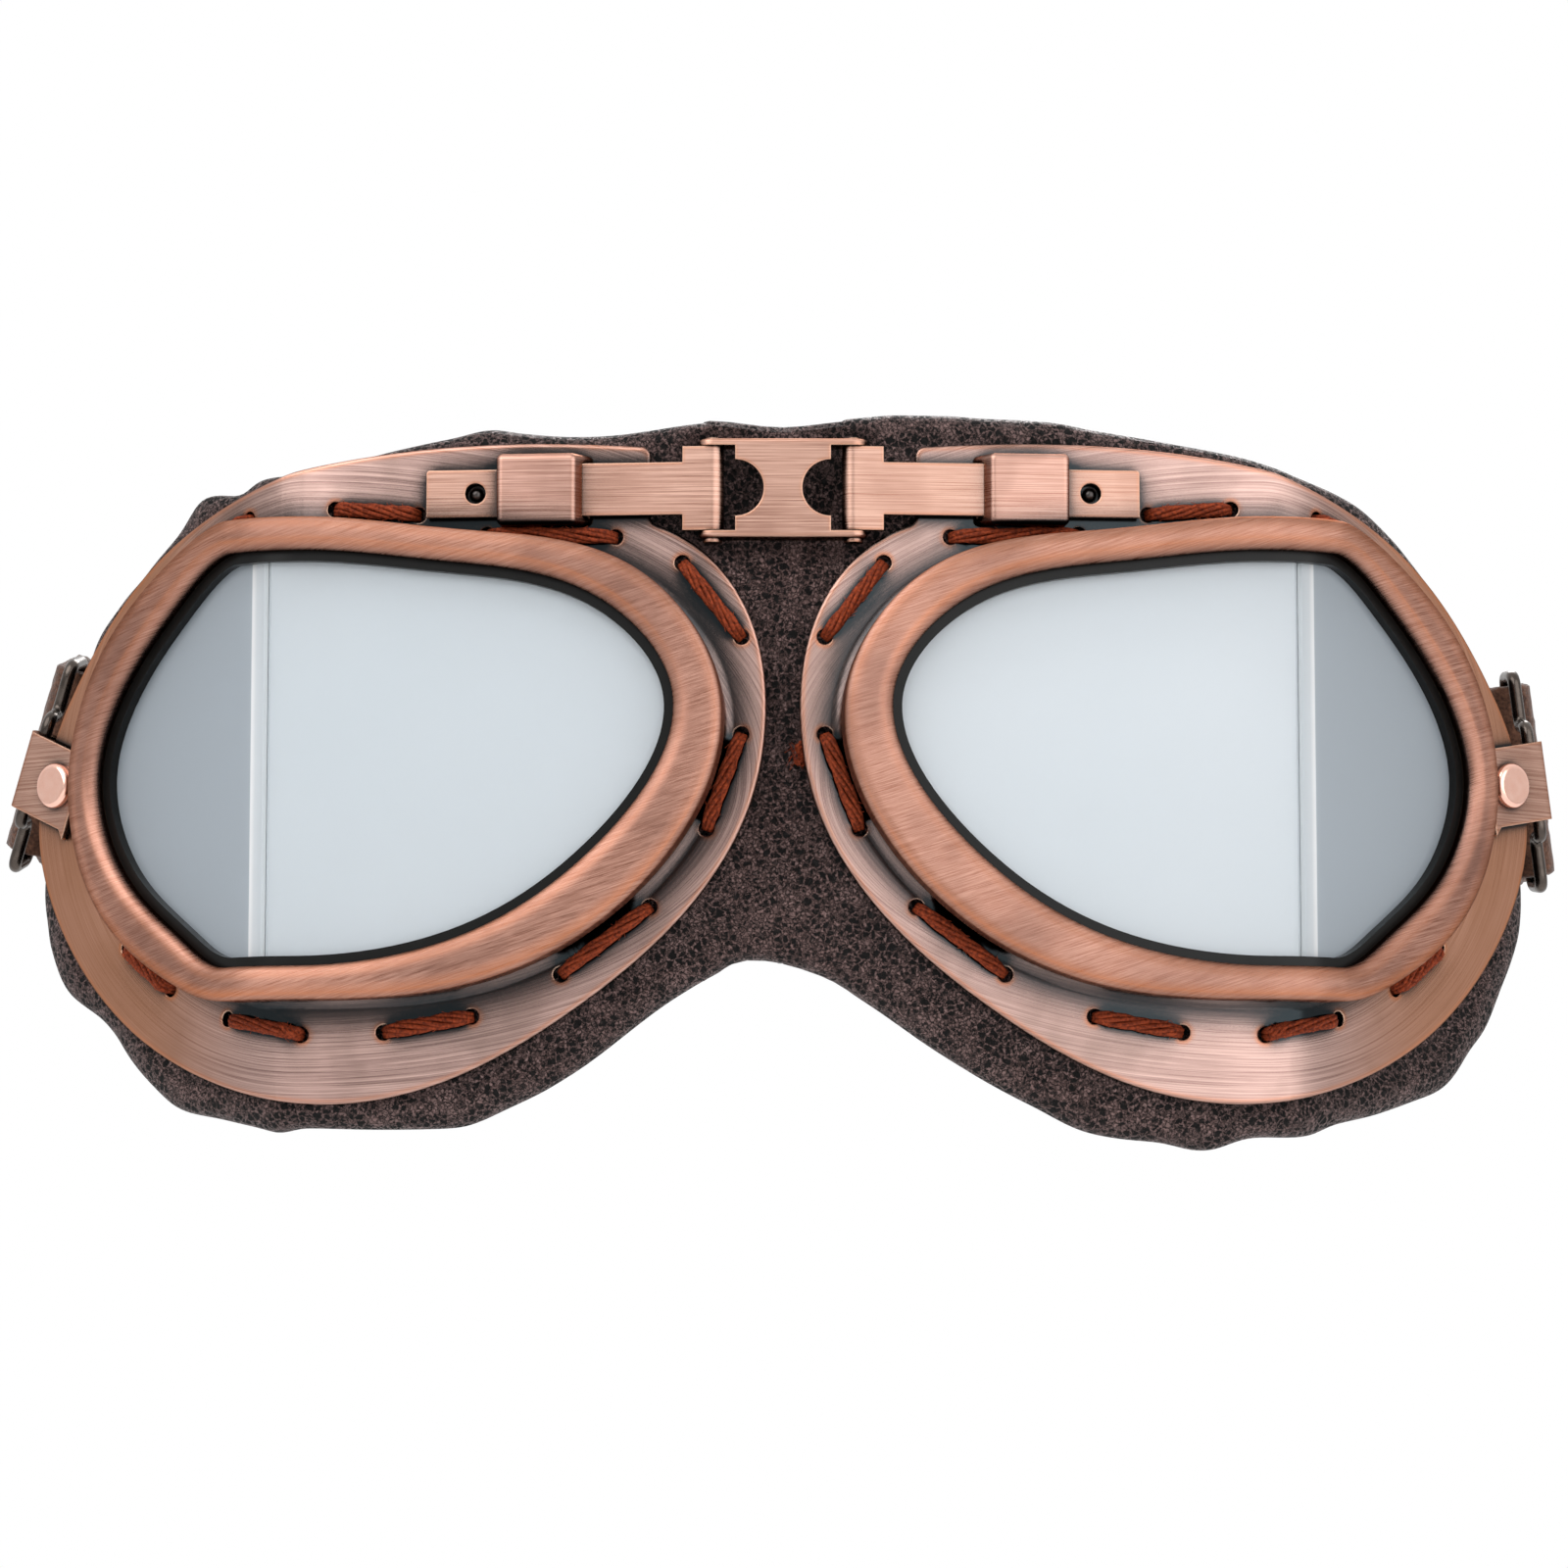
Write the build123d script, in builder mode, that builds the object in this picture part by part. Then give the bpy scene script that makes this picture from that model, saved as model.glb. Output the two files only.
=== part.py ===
"""Split-lens aviator flying goggles, worn upright on a face.

The face looks along -Y, +Z is up and +X is the wearer's left. The origin is on the nose line,
level with the eyes, in the plane where the padding meets the face. Each cup is drawn for the
wearer's left in two upright planes that meet in a rounded bend, and mirrored for the right.
"""

from build123d import *
from math import cos, radians, sin, tan
import os

os.makedirs("parts", exist_ok=True)

# How a cup stands in front of the face
face_stand = 18.0
pin_side = 8.4
cup_turn = 5.0
fold_turn = 34.0
fold_reach = 49.5
fold_depth = 5.0
fold_straight = 0.8
outline_steps = 24

# Rolled rim that holds the panes
rim_nose_reach = 51.2
rim_temple_reach = 27.4
rim_high = 30.3
rim_low = 27.0
rim_front = 9.0
rim_depth = 4.4
rim_sheet = 0.8
rim_lip_depth = 2.2
rim_nose_band = 5.8
rim_temple_band = 4.2
rim_top_band = 3.9
rim_bottom_band = 4.0
rim_outer_round = 0.6
rim_bead_round = 1.2
rim_nose_shares = [(-0.38, 0.943), (-0.80, 0.785), (-1.0, 0.29), (-0.775, -0.585), (-0.38, -0.955)]
rim_temple_shares = [(0.115, 0.985), (0.36, 0.875), (0.80, 0.53), (1.0, 0.02), (0.80, -0.57), (0.35, -0.905)]
pane_nose_shares = [(-0.39, 0.943), (-0.80, 0.775), (-1.0, 0.36), (-0.78, -0.44), (-0.42, -0.875)]
pane_temple_shares = [(0.15, 0.972), (0.42, 0.80), (0.80, 0.46), (1.0, 0.05), (0.77, -0.52), (0.37, -0.84)]

# Stamped eye plate with its flange, drawn wall and bridge tab
plate_sheet = 1.0
plate_nose_margin = 4.7
plate_temple_margin = 14.5
plate_top_margin = 9.7
plate_bottom_margin = 12.0
plate_edge_round = 0.35
wall_sheet = 0.8
wall_fit = 0.1
wall_round = 1.6
plate_top_shares = [(-0.40, 1.0), (-0.086, 0.958), (0.225, 0.873), (0.56, 0.695), (0.83, 0.39)]
plate_side_shares = [(1.0, -0.08), (0.88, -0.46), (0.60, -0.77), (0.25, -0.945), (-0.041, -1.0)]
plate_low_shares = [(-0.31, -0.935), (-0.587, -0.718), (-0.824, -0.426), (-0.963, -0.103)]
plate_nose_shares = [(-1.0, 0.20), (-0.965, 0.47), (-0.88, 0.65), (-0.751, 0.755)]
plate_tab_share = 0.985
plate_tab_round = 1.2

# Sewing holes and the thread that laces the mask to the plate
hole_radius = 0.95
thread_radius = 0.7
thread_turn = 0.9
thread_tuck = 1.0
thread_fit = 0.05
front_stitch_shares = [
    ((-0.676, 0.715), (-0.40, 0.728)),
    ((-0.82, 0.635), (-0.947, 0.41)),
    ((-0.947, 0.118), (-0.873, -0.167)),
    ((-0.752, -0.405), (-0.563, -0.608)),
    ((-0.372, -0.735), (-0.184, -0.782)),
    ((-0.25, 0.79), (-0.07, 0.81)),
]
side_stitch_shares = [((0.13, 0.80), (0.36, 0.715)), ((0.43, -0.628), (0.615, -0.49))]
fold_stitch_shares = [(-0.006, -0.788), (0.195, -0.73)]

# Glazing
glass_sheet = 2.0
glass_recess = 3.4
glass_cover = 1.0
glass_bevel = 0.45
mitre_gap = 0.1
gasket_lip = 0.6
gasket_show = 1.2
gasket_fit = 0.1

# Bridge link, hinge pins, sliders and keepers
bar_rise = 3.85
bar_sheet = 0.9
bar_lift = 0.7
neck_height = 6.3
tail_height = 5.7
head_height = 10.1
head_reach = 3.5
head_round = 1.0
tail_reach = 34.3
tail_round = 0.4
knuckle_radius = 1.35
pin_radius = 0.7
pin_fit = 0.05
pin_head_radius = 1.15
pin_head_height = 0.5
ear_sheet = 0.8
ear_radius = 1.65
ear_gap = 0.1
link_half_width = 5.7
link_sheet = 0.9
link_notch_radius = 3.4
link_round = 0.35
keeper_start = 14.4
keeper_length = 11.3
keeper_flank = 2.0
keeper_height = 8.6
keeper_front = 3.0
keeper_round = 0.7
slide_fit = 0.12

# Ball catch under the slider's tail
catch_reach = 28.4
catch_hole_radius = 1.25
ball_radius = 0.85
ball_fit = 0.05
ball_rise = 0.4
spring_sheet = 0.3
spring_width = 3.2
spring_foot = 13.0
spring_toe = 2.0
spring_boss_radius = 0.5

# Strap bracket, its rivet and the wire ring
rivet_reach = 37.8
rivet_height = 1.6
rivet_radius = 1.4
rivet_head_radius = 2.8
rivet_head_height = 1.1
rivet_head_round = 0.7
rivet_tail_radius = 2.1
rivet_tail_height = 0.6
rivet_fit = 0.05
bracket_turns = {"left": 10.0, "right": 22.0}
bracket_sheet = 0.8
bracket_width = 9.8
bracket_inner = 3.4
bracket_horn = 1.0
horn_slope = 45.0
bracket_lift = 0.05
bracket_reach = 6.3
bracket_back = 3.6
wire_radius = 0.8
wire_fit = 0.05
wire_bend = 1.4
ring_neck_half = 7.0
ring_neck_length = 4.5
ring_half = 13.4
ring_length = 11.5

# Elastic strap and its adjuster
strap_width = 24.5
strap_sheet = 2.0
strap_loop_gap = 0.15
strap_end_length = 12.0
strap_side_reach = 96.0
strap_side_back = 58.0
strap_joint_gap = 0.3
strap_back = 135.0
strap_level = 4.0
strap_turn = 74.0
adjuster_place = 6.0
adjuster_length = 14.0
adjuster_bar = 2.2
adjuster_rail = 3.0
adjuster_sheet = 1.2
adjuster_gap = 0.3
adjuster_round = 0.4

# Padded mask
mask_gap = 0.3
mask_sheet = 5.0
mask_round = 1.6
mask_nose_side = 6.4
mask_top_margin = 3.7
mask_bottom_margin = 4.0
mask_temple_share = 0.92
mask_top_shares = [(-0.95, 1.0), (-0.60, 0.975), (-0.29, 0.985), (-0.05, 0.915), (0.15, 0.87)]
mask_temple_shares = [(0.43, 0.82), (0.58, 0.72), (0.91, 0.34), (1.0, -0.02), (0.98, -0.35)]
mask_low_shares = [(0.91, -0.58), (0.70, -0.80), (0.40, -0.93), (0.10, -0.965), (-0.16, -1.0)]
mask_cheek_shares = [(-0.41, -0.945), (-0.655, -0.765), (-0.87, -0.56), (-0.99, -0.51)]
mask_opening_inset = 2.4
mask_seam_gap = 0.3
pad_depth = 11.4
pad_inset = 3.0
pad_round = 3.5
pad_widening = 1.5
pad_nose_side = 12.0

# Pockets in the mask behind the moving metal
spring_pocket = 1.6
bracket_pocket = 2.3
bracket_pocket_radius = 7.0
link_pocket = 1.5
link_pocket_reach = 2.5
pocket_room = 0.5

# Leather between the cups
nose_half = 6.1
nose_back = 2.3
nose_sheet = 3.5
nose_top_margin = 3.7
nose_arch = 22.3
nose_arch_rise = 1.4

# Room for cuts that pass right through, the least distance that counts, and a right angle
overrun = 30.0
span = 70.0
touch = 0.01
quarter_turn = 90.0


def level_direction(turn):
    """Level direction that points outward, turned back by an angle."""
    return Vector(cos(radians(turn)), sin(radians(turn)), 0)


def facing_plane(origin, turn):
    """Upright plane whose x points outward and whose normal faces forward."""
    return Plane(origin=origin, x_dir=level_direction(turn), z_dir=level_direction(turn - quarter_turn))


# Planes of the left cup, all on the front face of the eye plate
pin_lift = bar_lift + bar_sheet - knuckle_radius
pin_spot = Vector(pin_side, -face_stand - pin_lift, 0)
cup_plane = facing_plane(pin_spot - level_direction(cup_turn - quarter_turn) * pin_lift, cup_turn)
front_plane = facing_plane(cup_plane.from_local_coords((fold_reach, 0, 0)), cup_turn)
fold_spot = front_plane.from_local_coords((0, 0, -fold_depth))
fold_axis = Axis(fold_spot, (0, 0, 1))
side_turn = cup_turn + fold_turn
side_plane = facing_plane(fold_spot + level_direction(side_turn - quarter_turn) * fold_depth, side_turn)
mitre_plane = Plane(origin=fold_spot, z_dir=level_direction(cup_turn + fold_turn / 2))
section_plane = Plane(front_plane.origin, x_dir=front_plane.z_dir, z_dir=-front_plane.x_dir)
rivet_spot = side_plane.from_local_coords((rivet_reach, rivet_height, 0))

# Sizes that several pieces share
bar_height = rim_high + bar_rise
bar_plane = Plane(
    cup_plane.from_local_coords((0, bar_height, 0)), x_dir=cup_plane.x_dir, z_dir=(0, 0, -1)
)
wall_inset = rim_sheet + wall_fit
wall_top = rim_front - rim_sheet - wall_fit
glass_front = rim_front - glass_recess
plate_reaches = (
    rim_nose_reach + plate_nose_margin,
    fold_depth * sin(radians(fold_turn))
    + (rim_temple_reach + plate_temple_margin) * cos(radians(fold_turn)),
    rim_high + plate_top_margin,
    rim_low + plate_bottom_margin,
)


def keep(builder, name):
    """Label a finished piece and write it."""
    builder.part.label = name
    export_step(builder.part, f"parts/{name}.step")


def keep_twin(builder, name):
    """Write the mirror image of a left piece for the right."""
    with BuildPart() as twin:
        mirror(builder.part, about=Plane.YZ)
    keep(twin, "right_" + name)


def keep_pair(builder, name):
    """Write a piece of the left cup and its mirror image on the right."""
    keep(builder, "left_" + name)
    keep_twin(builder, name)


def spread(shares, reaches):
    """Outline points from shares of the nose, temple, top and bottom reaches."""
    nose, temple, high, low = reaches
    return [(x * (nose if x < 0 else temple), y * (high if y > 0 else low)) for x, y in shares]


def depth_at(spot):
    """Depth ahead of the plate's face, followed round the bend."""
    ahead = front_plane.to_local_coords(spot)
    aside = side_plane.to_local_coords(spot)
    if ahead.X <= 0:
        return ahead.Z
    if aside.X >= 0:
        return aside.Z
    return Vector(spot.X - fold_spot.X, spot.Y - fold_spot.Y, 0).length - fold_depth


def off_bend(spot):
    """Whether a place lies off both lines where the flat faces meet the bend."""
    return all(abs(plane.to_local_coords(spot).X) > touch for plane in (front_plane, side_plane))


def edges_at(builder, depth):
    """Edges of a piece at a depth ahead of the plate's face."""
    middles = [(edge, edge @ 0.5) for edge in builder.edges()]
    return [edge for edge, spot in middles if abs(depth_at(spot) - depth) < touch and off_bend(spot)]


def edges_beside(builder, depth, other):
    """Edges at a depth that lie against another solid."""
    at_depth = edges_at(builder, depth)
    return [edge for edge in at_depth if Vertex(*(edge @ 0.5)).distance_to(other) < touch]


# The rim's outer edge and its opening, each as reaches, nose shares and temple shares
rim_outline = (
    (rim_nose_reach, rim_temple_reach, rim_high, rim_low),
    rim_nose_shares,
    rim_temple_shares,
)
pane_outline = (
    (
        rim_nose_reach - rim_nose_band,
        rim_temple_reach - rim_temple_band,
        rim_high - rim_top_band,
        rim_low - rim_bottom_band,
    ),
    pane_nose_shares,
    pane_temple_shares,
)


def lens_half(outline, side, inset, past_fold=0):
    """Nose half (side -1) or temple half (side 1) of a lens outline, drawn inside its edge."""
    reaches, nose_shares, temple_shares = outline
    high, low = reaches[2:]
    points = spread(nose_shares if side < 0 else temple_shares, reaches)
    ends = [(side * fold_straight, high), (side * fold_straight, -low)]
    swing = [(side, 0), (-side, 0)]
    with BuildSketch() as half:
        with BuildLine():
            guide = Spline(
                ends[0],
                *points,
                ends[1],
                tangents=swing,
                tangent_scalars=(1, 1),
                mode=Mode.PRIVATE,
            )
            spots = [
                guide @ (step / outline_steps)
                + (guide % (step / outline_steps)).rotate(Axis.Z, -quarter_turn * side) * inset
                for step in range(outline_steps + 1)
            ]
            edge = Spline(*spots, tangents=swing, tangent_scalars=(1, 1))
            past = -side * past_fold
            Polyline(edge @ 1, (past, (edge @ 1).Y), (past, (edge @ 0).Y), edge @ 0)
        make_face()
    return half.sketch


def lens_form(outline, inset, back, front):
    """Slab of a lens outline between two depths, carried round the bend."""
    high, low = outline[0][2:]
    with BuildPart() as form:
        for plane, side in ((front_plane, -1), (side_plane, 1)):
            with BuildSketch(plane.offset(back)):
                add(lens_half(outline, side, inset))
            extrude(amount=front - back)
        with BuildSketch(section_plane):
            with Locations(((back + front) / 2, (high - low) / 2)):
                Rectangle(front - back, high + low - 2 * inset)
        revolve(axis=fold_axis, revolution_arc=fold_turn)
    return form.part


def bent_sheet(back, front):
    """Wide sheet between two depths, carried round the bend."""
    with BuildPart() as sheet:
        for plane, near_edge in ((front_plane, Align.MAX), (side_plane, Align.MIN)):
            with BuildSketch(plane.offset(back)):
                Rectangle(2 * span, 2 * span, align=(near_edge, Align.CENTER))
            extrude(amount=front - back)
        with BuildSketch(section_plane):
            with Locations(((back + front) / 2, 0)):
                Rectangle(front - back, 2 * span)
        revolve(axis=fold_axis, revolution_arc=fold_turn)
    return sheet.part


def mitred(sketch, side, back, front, gap=0):
    """Flat slab on the nose side (-1) or temple side (1), cut along the mitre of the bend."""
    with BuildPart() as half:
        with BuildSketch((front_plane if side < 0 else side_plane).offset(back)):
            add(sketch)
        extrude(amount=front - back)
        split(
            bisect_by=mitre_plane.offset(side * gap / 2), keep=Keep.BOTTOM if side < 0 else Keep.TOP
        )
    return half.part


# Rim: a channel rolled over the wall, with its bead turned down onto the glazing seal
rim_opening = lens_form(pane_outline, 0, 0, rim_front + overrun)
with BuildPart() as rim_hollow:
    add(lens_form(rim_outline, rim_sheet, 0, rim_front - rim_sheet))
    add(lens_form(pane_outline, -rim_sheet, rim_front - rim_lip_depth, rim_front), mode=Mode.SUBTRACT)
with BuildPart() as rim:
    add(lens_form(rim_outline, 0, rim_front - rim_depth, rim_front))
    fillet(edges_at(rim, rim_front), radius=rim_outer_round)
    add(rim_opening, mode=Mode.SUBTRACT)
    fillet(edges_beside(rim, rim_front, rim_opening), radius=rim_bead_round)
    add(rim_hollow.part, mode=Mode.SUBTRACT)
keep_pair(rim, "rim")

# Eye plate: outline with the bridge tab, the bend, the wall drawn up from it and its holes
side_reaches = (0, rim_temple_reach + plate_temple_margin, *plate_reaches[2:])
tail_middle = bar_height - (neck_height - tail_height) / 2
front_holes = [spot for pair in front_stitch_shares for spot in spread(pair, plate_reaches)]
side_holes = [spot for pair in side_stitch_shares for spot in spread(pair, side_reaches)]
fold_hole_front = spread(fold_stitch_shares[:1], plate_reaches)[0]
fold_hole_side = spread(fold_stitch_shares[1:], side_reaches)[0]
catch_spot = (catch_reach - fold_reach, tail_middle)
with BuildSketch() as plate_face:
    with BuildLine():
        around_shares = plate_top_shares + plate_side_shares + plate_low_shares + plate_nose_shares
        around = spread(around_shares, plate_reaches)
        tab_corner = (around[-1][0], plate_reaches[2] * plate_tab_share)
        Spline(tab_corner, *around)
        Line(around[-1], tab_corner)
    make_face()
    fillet(plate_face.vertices(), radius=plate_tab_round)
wall = lens_form(rim_outline, wall_inset, -plate_sheet, wall_top)
with BuildPart() as eye_plate:
    with BuildSketch(front_plane.offset(-span)):
        add(plate_face.sketch)
    extrude(amount=2 * span)
    add(bent_sheet(-plate_sheet, 0), mode=Mode.INTERSECT)
    fillet(edges_at(eye_plate, 0), radius=plate_edge_round)
    add(wall)
    fillet(edges_beside(eye_plate, 0, wall), radius=wall_round)
    add(lens_form(rim_outline, wall_inset + wall_sheet, -plate_sheet, rim_front), mode=Mode.SUBTRACT)
    with BuildSketch(front_plane):
        with Locations(*front_holes, fold_hole_front):
            Circle(hole_radius)
        with Locations(catch_spot):
            Circle(ball_radius + ball_fit)
    with BuildSketch(side_plane):
        with Locations(*side_holes, fold_hole_side):
            Circle(hole_radius)
        with Locations((rivet_reach, rivet_height)):
            Circle(rivet_radius + rivet_fit)
    extrude(amount=plate_sheet + touch, both=True, mode=Mode.SUBTRACT)
keep_pair(eye_plate, "eye_plate")


def stitch(*route):
    """One stitch: thread led out of a hole, over the sheet and into the next hole."""
    with BuildPart() as thread:
        with BuildLine():
            path = FilletPolyline(*route, radius=thread_turn)
        with BuildSketch(Plane(path @ 0, z_dir=path % 0)):
            Circle(thread_radius)
        sweep(path=path)
    return thread.part


# Lacing: straight stitches round the plate and one that crosses the bend
thread_lift = thread_radius + thread_fit
with BuildPart() as lacing:
    for plane, holes in ((front_plane, front_holes), (side_plane, side_holes)):
        for start, end in zip(holes[::2], holes[1::2]):
            places = ((start, -thread_tuck), (start, thread_lift), (end, thread_lift), (end, -thread_tuck))
            add(stitch(*[plane.from_local_coords((*spot, depth)) for spot, depth in places]))
    corner_reach = (fold_depth + thread_lift) * tan(radians(fold_turn / 2))
    rise_share = (corner_reach - fold_hole_front[0]) / (fold_hole_side[0] - fold_hole_front[0])
    corner_height = fold_hole_front[1] + rise_share * (fold_hole_side[1] - fold_hole_front[1])
    add(
        stitch(
            front_plane.from_local_coords((*fold_hole_front, -thread_tuck)),
            front_plane.from_local_coords((*fold_hole_front, thread_lift)),
            front_plane.from_local_coords((corner_reach, corner_height, thread_lift)),
            side_plane.from_local_coords((*fold_hole_side, thread_lift)),
            side_plane.from_local_coords((*fold_hole_side, -thread_tuck)),
        )
    )
keep_pair(lacing, "lacing")

# Panes: flat front and side glass that meet along the bend, each with a polished mitre edge
panes = []
for side, name in ((-1, "front_lens"), (1, "side_lens")):
    with BuildPart() as pane:
        pane_face = lens_half(pane_outline, side, -glass_cover, fold_depth + glass_front)
        add(mitred(pane_face, side, glass_front - glass_sheet, glass_front, mitre_gap))
        ahead = front_plane.z_dir if side < 0 else side_plane.z_dir
        mitre_face = pane.faces().filter_by(Axis((0, 0, 0), mitre_plane.z_dir))[0]
        chamfer(mitre_face.edges().filter_by(Axis.Z).sort_by(Axis((0, 0, 0), ahead))[-1], glass_bevel)
    keep_pair(pane, name)
    panes.append(pane.part)

# Seal: grooved rubber ring round both panes, seen inside the rim as a black line
with BuildPart() as gasket:
    add(
        lens_form(
            rim_outline,
            wall_inset + wall_sheet + gasket_fit,
            glass_front - glass_sheet - gasket_lip,
            rim_front - rim_lip_depth,
        )
    )
    add(lens_form(pane_outline, gasket_show, 0, rim_front), mode=Mode.SUBTRACT)
    for pane_part in panes:
        add(pane_part, mode=Mode.SUBTRACT)
keep_pair(gasket, "gasket")

# Keeper: pressed loop that guides the slider
with BuildPart() as keeper:
    with BuildSketch(bar_plane):
        Polygon(
            (keeper_start, 0),
            (keeper_start + keeper_flank, keeper_front),
            (keeper_start + keeper_length, keeper_front),
            (keeper_start + keeper_length, 0),
            align=None,
        )
    extrude(amount=keeper_height / 2, both=True)
    fillet([edge for edge in keeper.edges() if depth_at(edge @ 0.5) > touch], radius=keeper_round)
    with BuildSketch(bar_plane):
        with Locations((keeper_start, bar_lift - slide_fit)):
            Rectangle(keeper_length, bar_sheet + 2 * slide_fit, align=Align.MIN)
    extrude(amount=neck_height / 2 + slide_fit, both=True, mode=Mode.SUBTRACT)
keep_pair(keeper, "keeper")

# Slider: flat bar with a T head, a knuckle on the hinge pin and the catch's hole
with BuildPart() as slider:
    with BuildSketch(cup_plane.offset(bar_lift)) as bar_face:
        with Locations((0, bar_height)):
            Rectangle(head_reach, head_height, align=(Align.MIN, Align.CENTER))
            Rectangle(keeper_start + keeper_length / 2, neck_height, align=(Align.MIN, Align.CENTER))
        with Locations((0, tail_middle)):
            Rectangle(tail_reach, tail_height, align=(Align.MIN, Align.CENTER))
        shoulders = bar_face.vertices().group_by(Axis((0, 0, 0), cup_plane.x_dir))[1]
        fillet(shoulders.sort_by(Axis.Z)[1:-1], radius=head_round)
        fillet(bar_face.vertices().group_by(Axis((0, 0, 0), cup_plane.x_dir))[-1], radius=tail_round)
        with Locations((catch_reach, tail_middle)):
            Circle(catch_hole_radius, mode=Mode.SUBTRACT)
    extrude(amount=bar_sheet)
    with BuildSketch(Plane(pin_spot).offset(bar_height - head_height / 2)):
        Circle(knuckle_radius)
    extrude(amount=head_height)
    with BuildSketch(Plane(pin_spot).offset(bar_height - head_height / 2)):
        Circle(pin_radius + pin_fit)
    extrude(amount=head_height, mode=Mode.SUBTRACT)
keep_pair(slider, "slider")

# Bridge link: front plate with two round notches, bent back into ears at top and bottom
ear_height = head_height / 2 + ear_gap
link_height = 2 * (ear_height + ear_sheet)
link_plane = Plane((0, pin_spot.Y - ear_radius, bar_height), x_dir=(1, 0, 0), z_dir=(0, -1, 0))
with BuildPart() as bridge_link:
    with BuildSketch(link_plane):
        Rectangle(2 * link_half_width, link_height)
        with Locations((-link_half_width, 0), (link_half_width, 0)):
            Circle(link_notch_radius, mode=Mode.SUBTRACT)
    extrude(amount=-link_sheet)
    for level in (bar_height + ear_height, bar_height - ear_height - ear_sheet):
        with BuildSketch(Plane((0, pin_spot.Y, level))):
            SlotCenterToCenter(2 * pin_side, 2 * ear_radius)
            with Locations((-pin_side, 0), (pin_side, 0)):
                Circle(pin_radius + pin_fit, mode=Mode.SUBTRACT)
        extrude(amount=ear_sheet)
    front_edges = bridge_link.edges().filter_by(Axis.X).group_by(Axis.Y)[0]
    fillet([front_edges.sort_by(Axis.Z)[0], front_edges.sort_by(Axis.Z)[-1]], radius=link_round)
keep(bridge_link, "bridge_link")

# Hinge pins: headed below, peened over above
with BuildPart() as hinge_pin:
    with BuildSketch(Plane(pin_spot).offset(bar_height - link_height / 2 - pin_head_height)):
        Circle(pin_head_radius)
    extrude(amount=pin_head_height)
    with BuildSketch(Plane(pin_spot).offset(bar_height - link_height / 2)):
        Circle(pin_radius)
    extrude(amount=link_height + pin_head_height / 2)
keep_pair(hinge_pin, "hinge_pin")

# Ball catch: a ball in the plate, pressed into the slider's hole by a leaf spring
ball_middle = bar_lift + ball_rise - ball_radius
with BuildPart() as detent_ball:
    with BuildSketch(cup_plane.offset(ball_middle)):
        with Locations((catch_reach, tail_middle)):
            Circle(ball_radius)
            Rectangle(2 * ball_radius, ball_radius, align=(Align.CENTER, Align.MAX), mode=Mode.SUBTRACT)
    revolve(axis=Axis(cup_plane.from_local_coords((0, tail_middle, ball_middle)), cup_plane.x_dir))
keep_pair(detent_ball, "detent_ball")
with BuildPart() as detent_spring:
    with BuildSketch(cup_plane.offset(-plate_sheet - spring_sheet)):
        with Locations((catch_reach - spring_foot, tail_middle)):
            Rectangle(spring_foot + spring_toe, spring_width, align=(Align.MIN, Align.CENTER))
    extrude(amount=spring_sheet)
    with BuildSketch(cup_plane.offset(-plate_sheet)):
        with Locations((catch_reach, tail_middle)):
            Circle(spring_boss_radius)
    extrude(amount=plate_sheet + ball_middle - ball_radius - ball_fit)
keep_pair(detent_spring, "detent_spring")

# Rivet that the strap bracket swivels on
loop_radius = wire_radius + wire_fit
loop_depth = bracket_lift - loop_radius
bracket_rear = loop_depth - loop_radius - bracket_sheet
head_level = bracket_lift + bracket_sheet + rivet_fit
tail_level = bracket_rear - rivet_fit - rivet_tail_height
with BuildPart() as bracket_rivet:
    with BuildSketch(side_plane.offset(head_level)):
        with Locations((rivet_reach, rivet_height)):
            Circle(rivet_head_radius)
    extrude(amount=rivet_head_height)
    head_top = bracket_rivet.faces().sort_by(Axis(rivet_spot, side_plane.z_dir))[-1]
    fillet(head_top.edges(), radius=rivet_head_round)
    with BuildSketch(side_plane.offset(tail_level)):
        with Locations((rivet_reach, rivet_height)):
            Circle(rivet_radius)
    extrude(amount=head_level - tail_level)
    with BuildSketch(side_plane.offset(tail_level)):
        with Locations((rivet_reach, rivet_height)):
            Circle(rivet_tail_radius)
    extrude(amount=rivet_tail_height)
keep_pair(bracket_rivet, "bracket_rivet")


def bracket_plane(turn):
    """Plane of a bracket on the rivet, its outer end turned up."""
    outward = side_plane.x_dir * cos(radians(turn)) + side_plane.y_dir * sin(radians(turn))
    return Plane(rivet_spot, x_dir=outward, z_dir=side_plane.z_dir)


def ring_plane(turn):
    """Plane of the wire ring: x runs back from the bar in the bracket, y along that bar."""
    bracket = bracket_plane(turn)
    bar = bracket.y_dir
    back = Vector(0, 1, 0) - bar * bar.Y
    middle = bracket.from_local_coords((bracket_reach, 0, loop_depth))
    return Plane(middle, x_dir=back.normalized(), z_dir=back.cross(bar))


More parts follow.
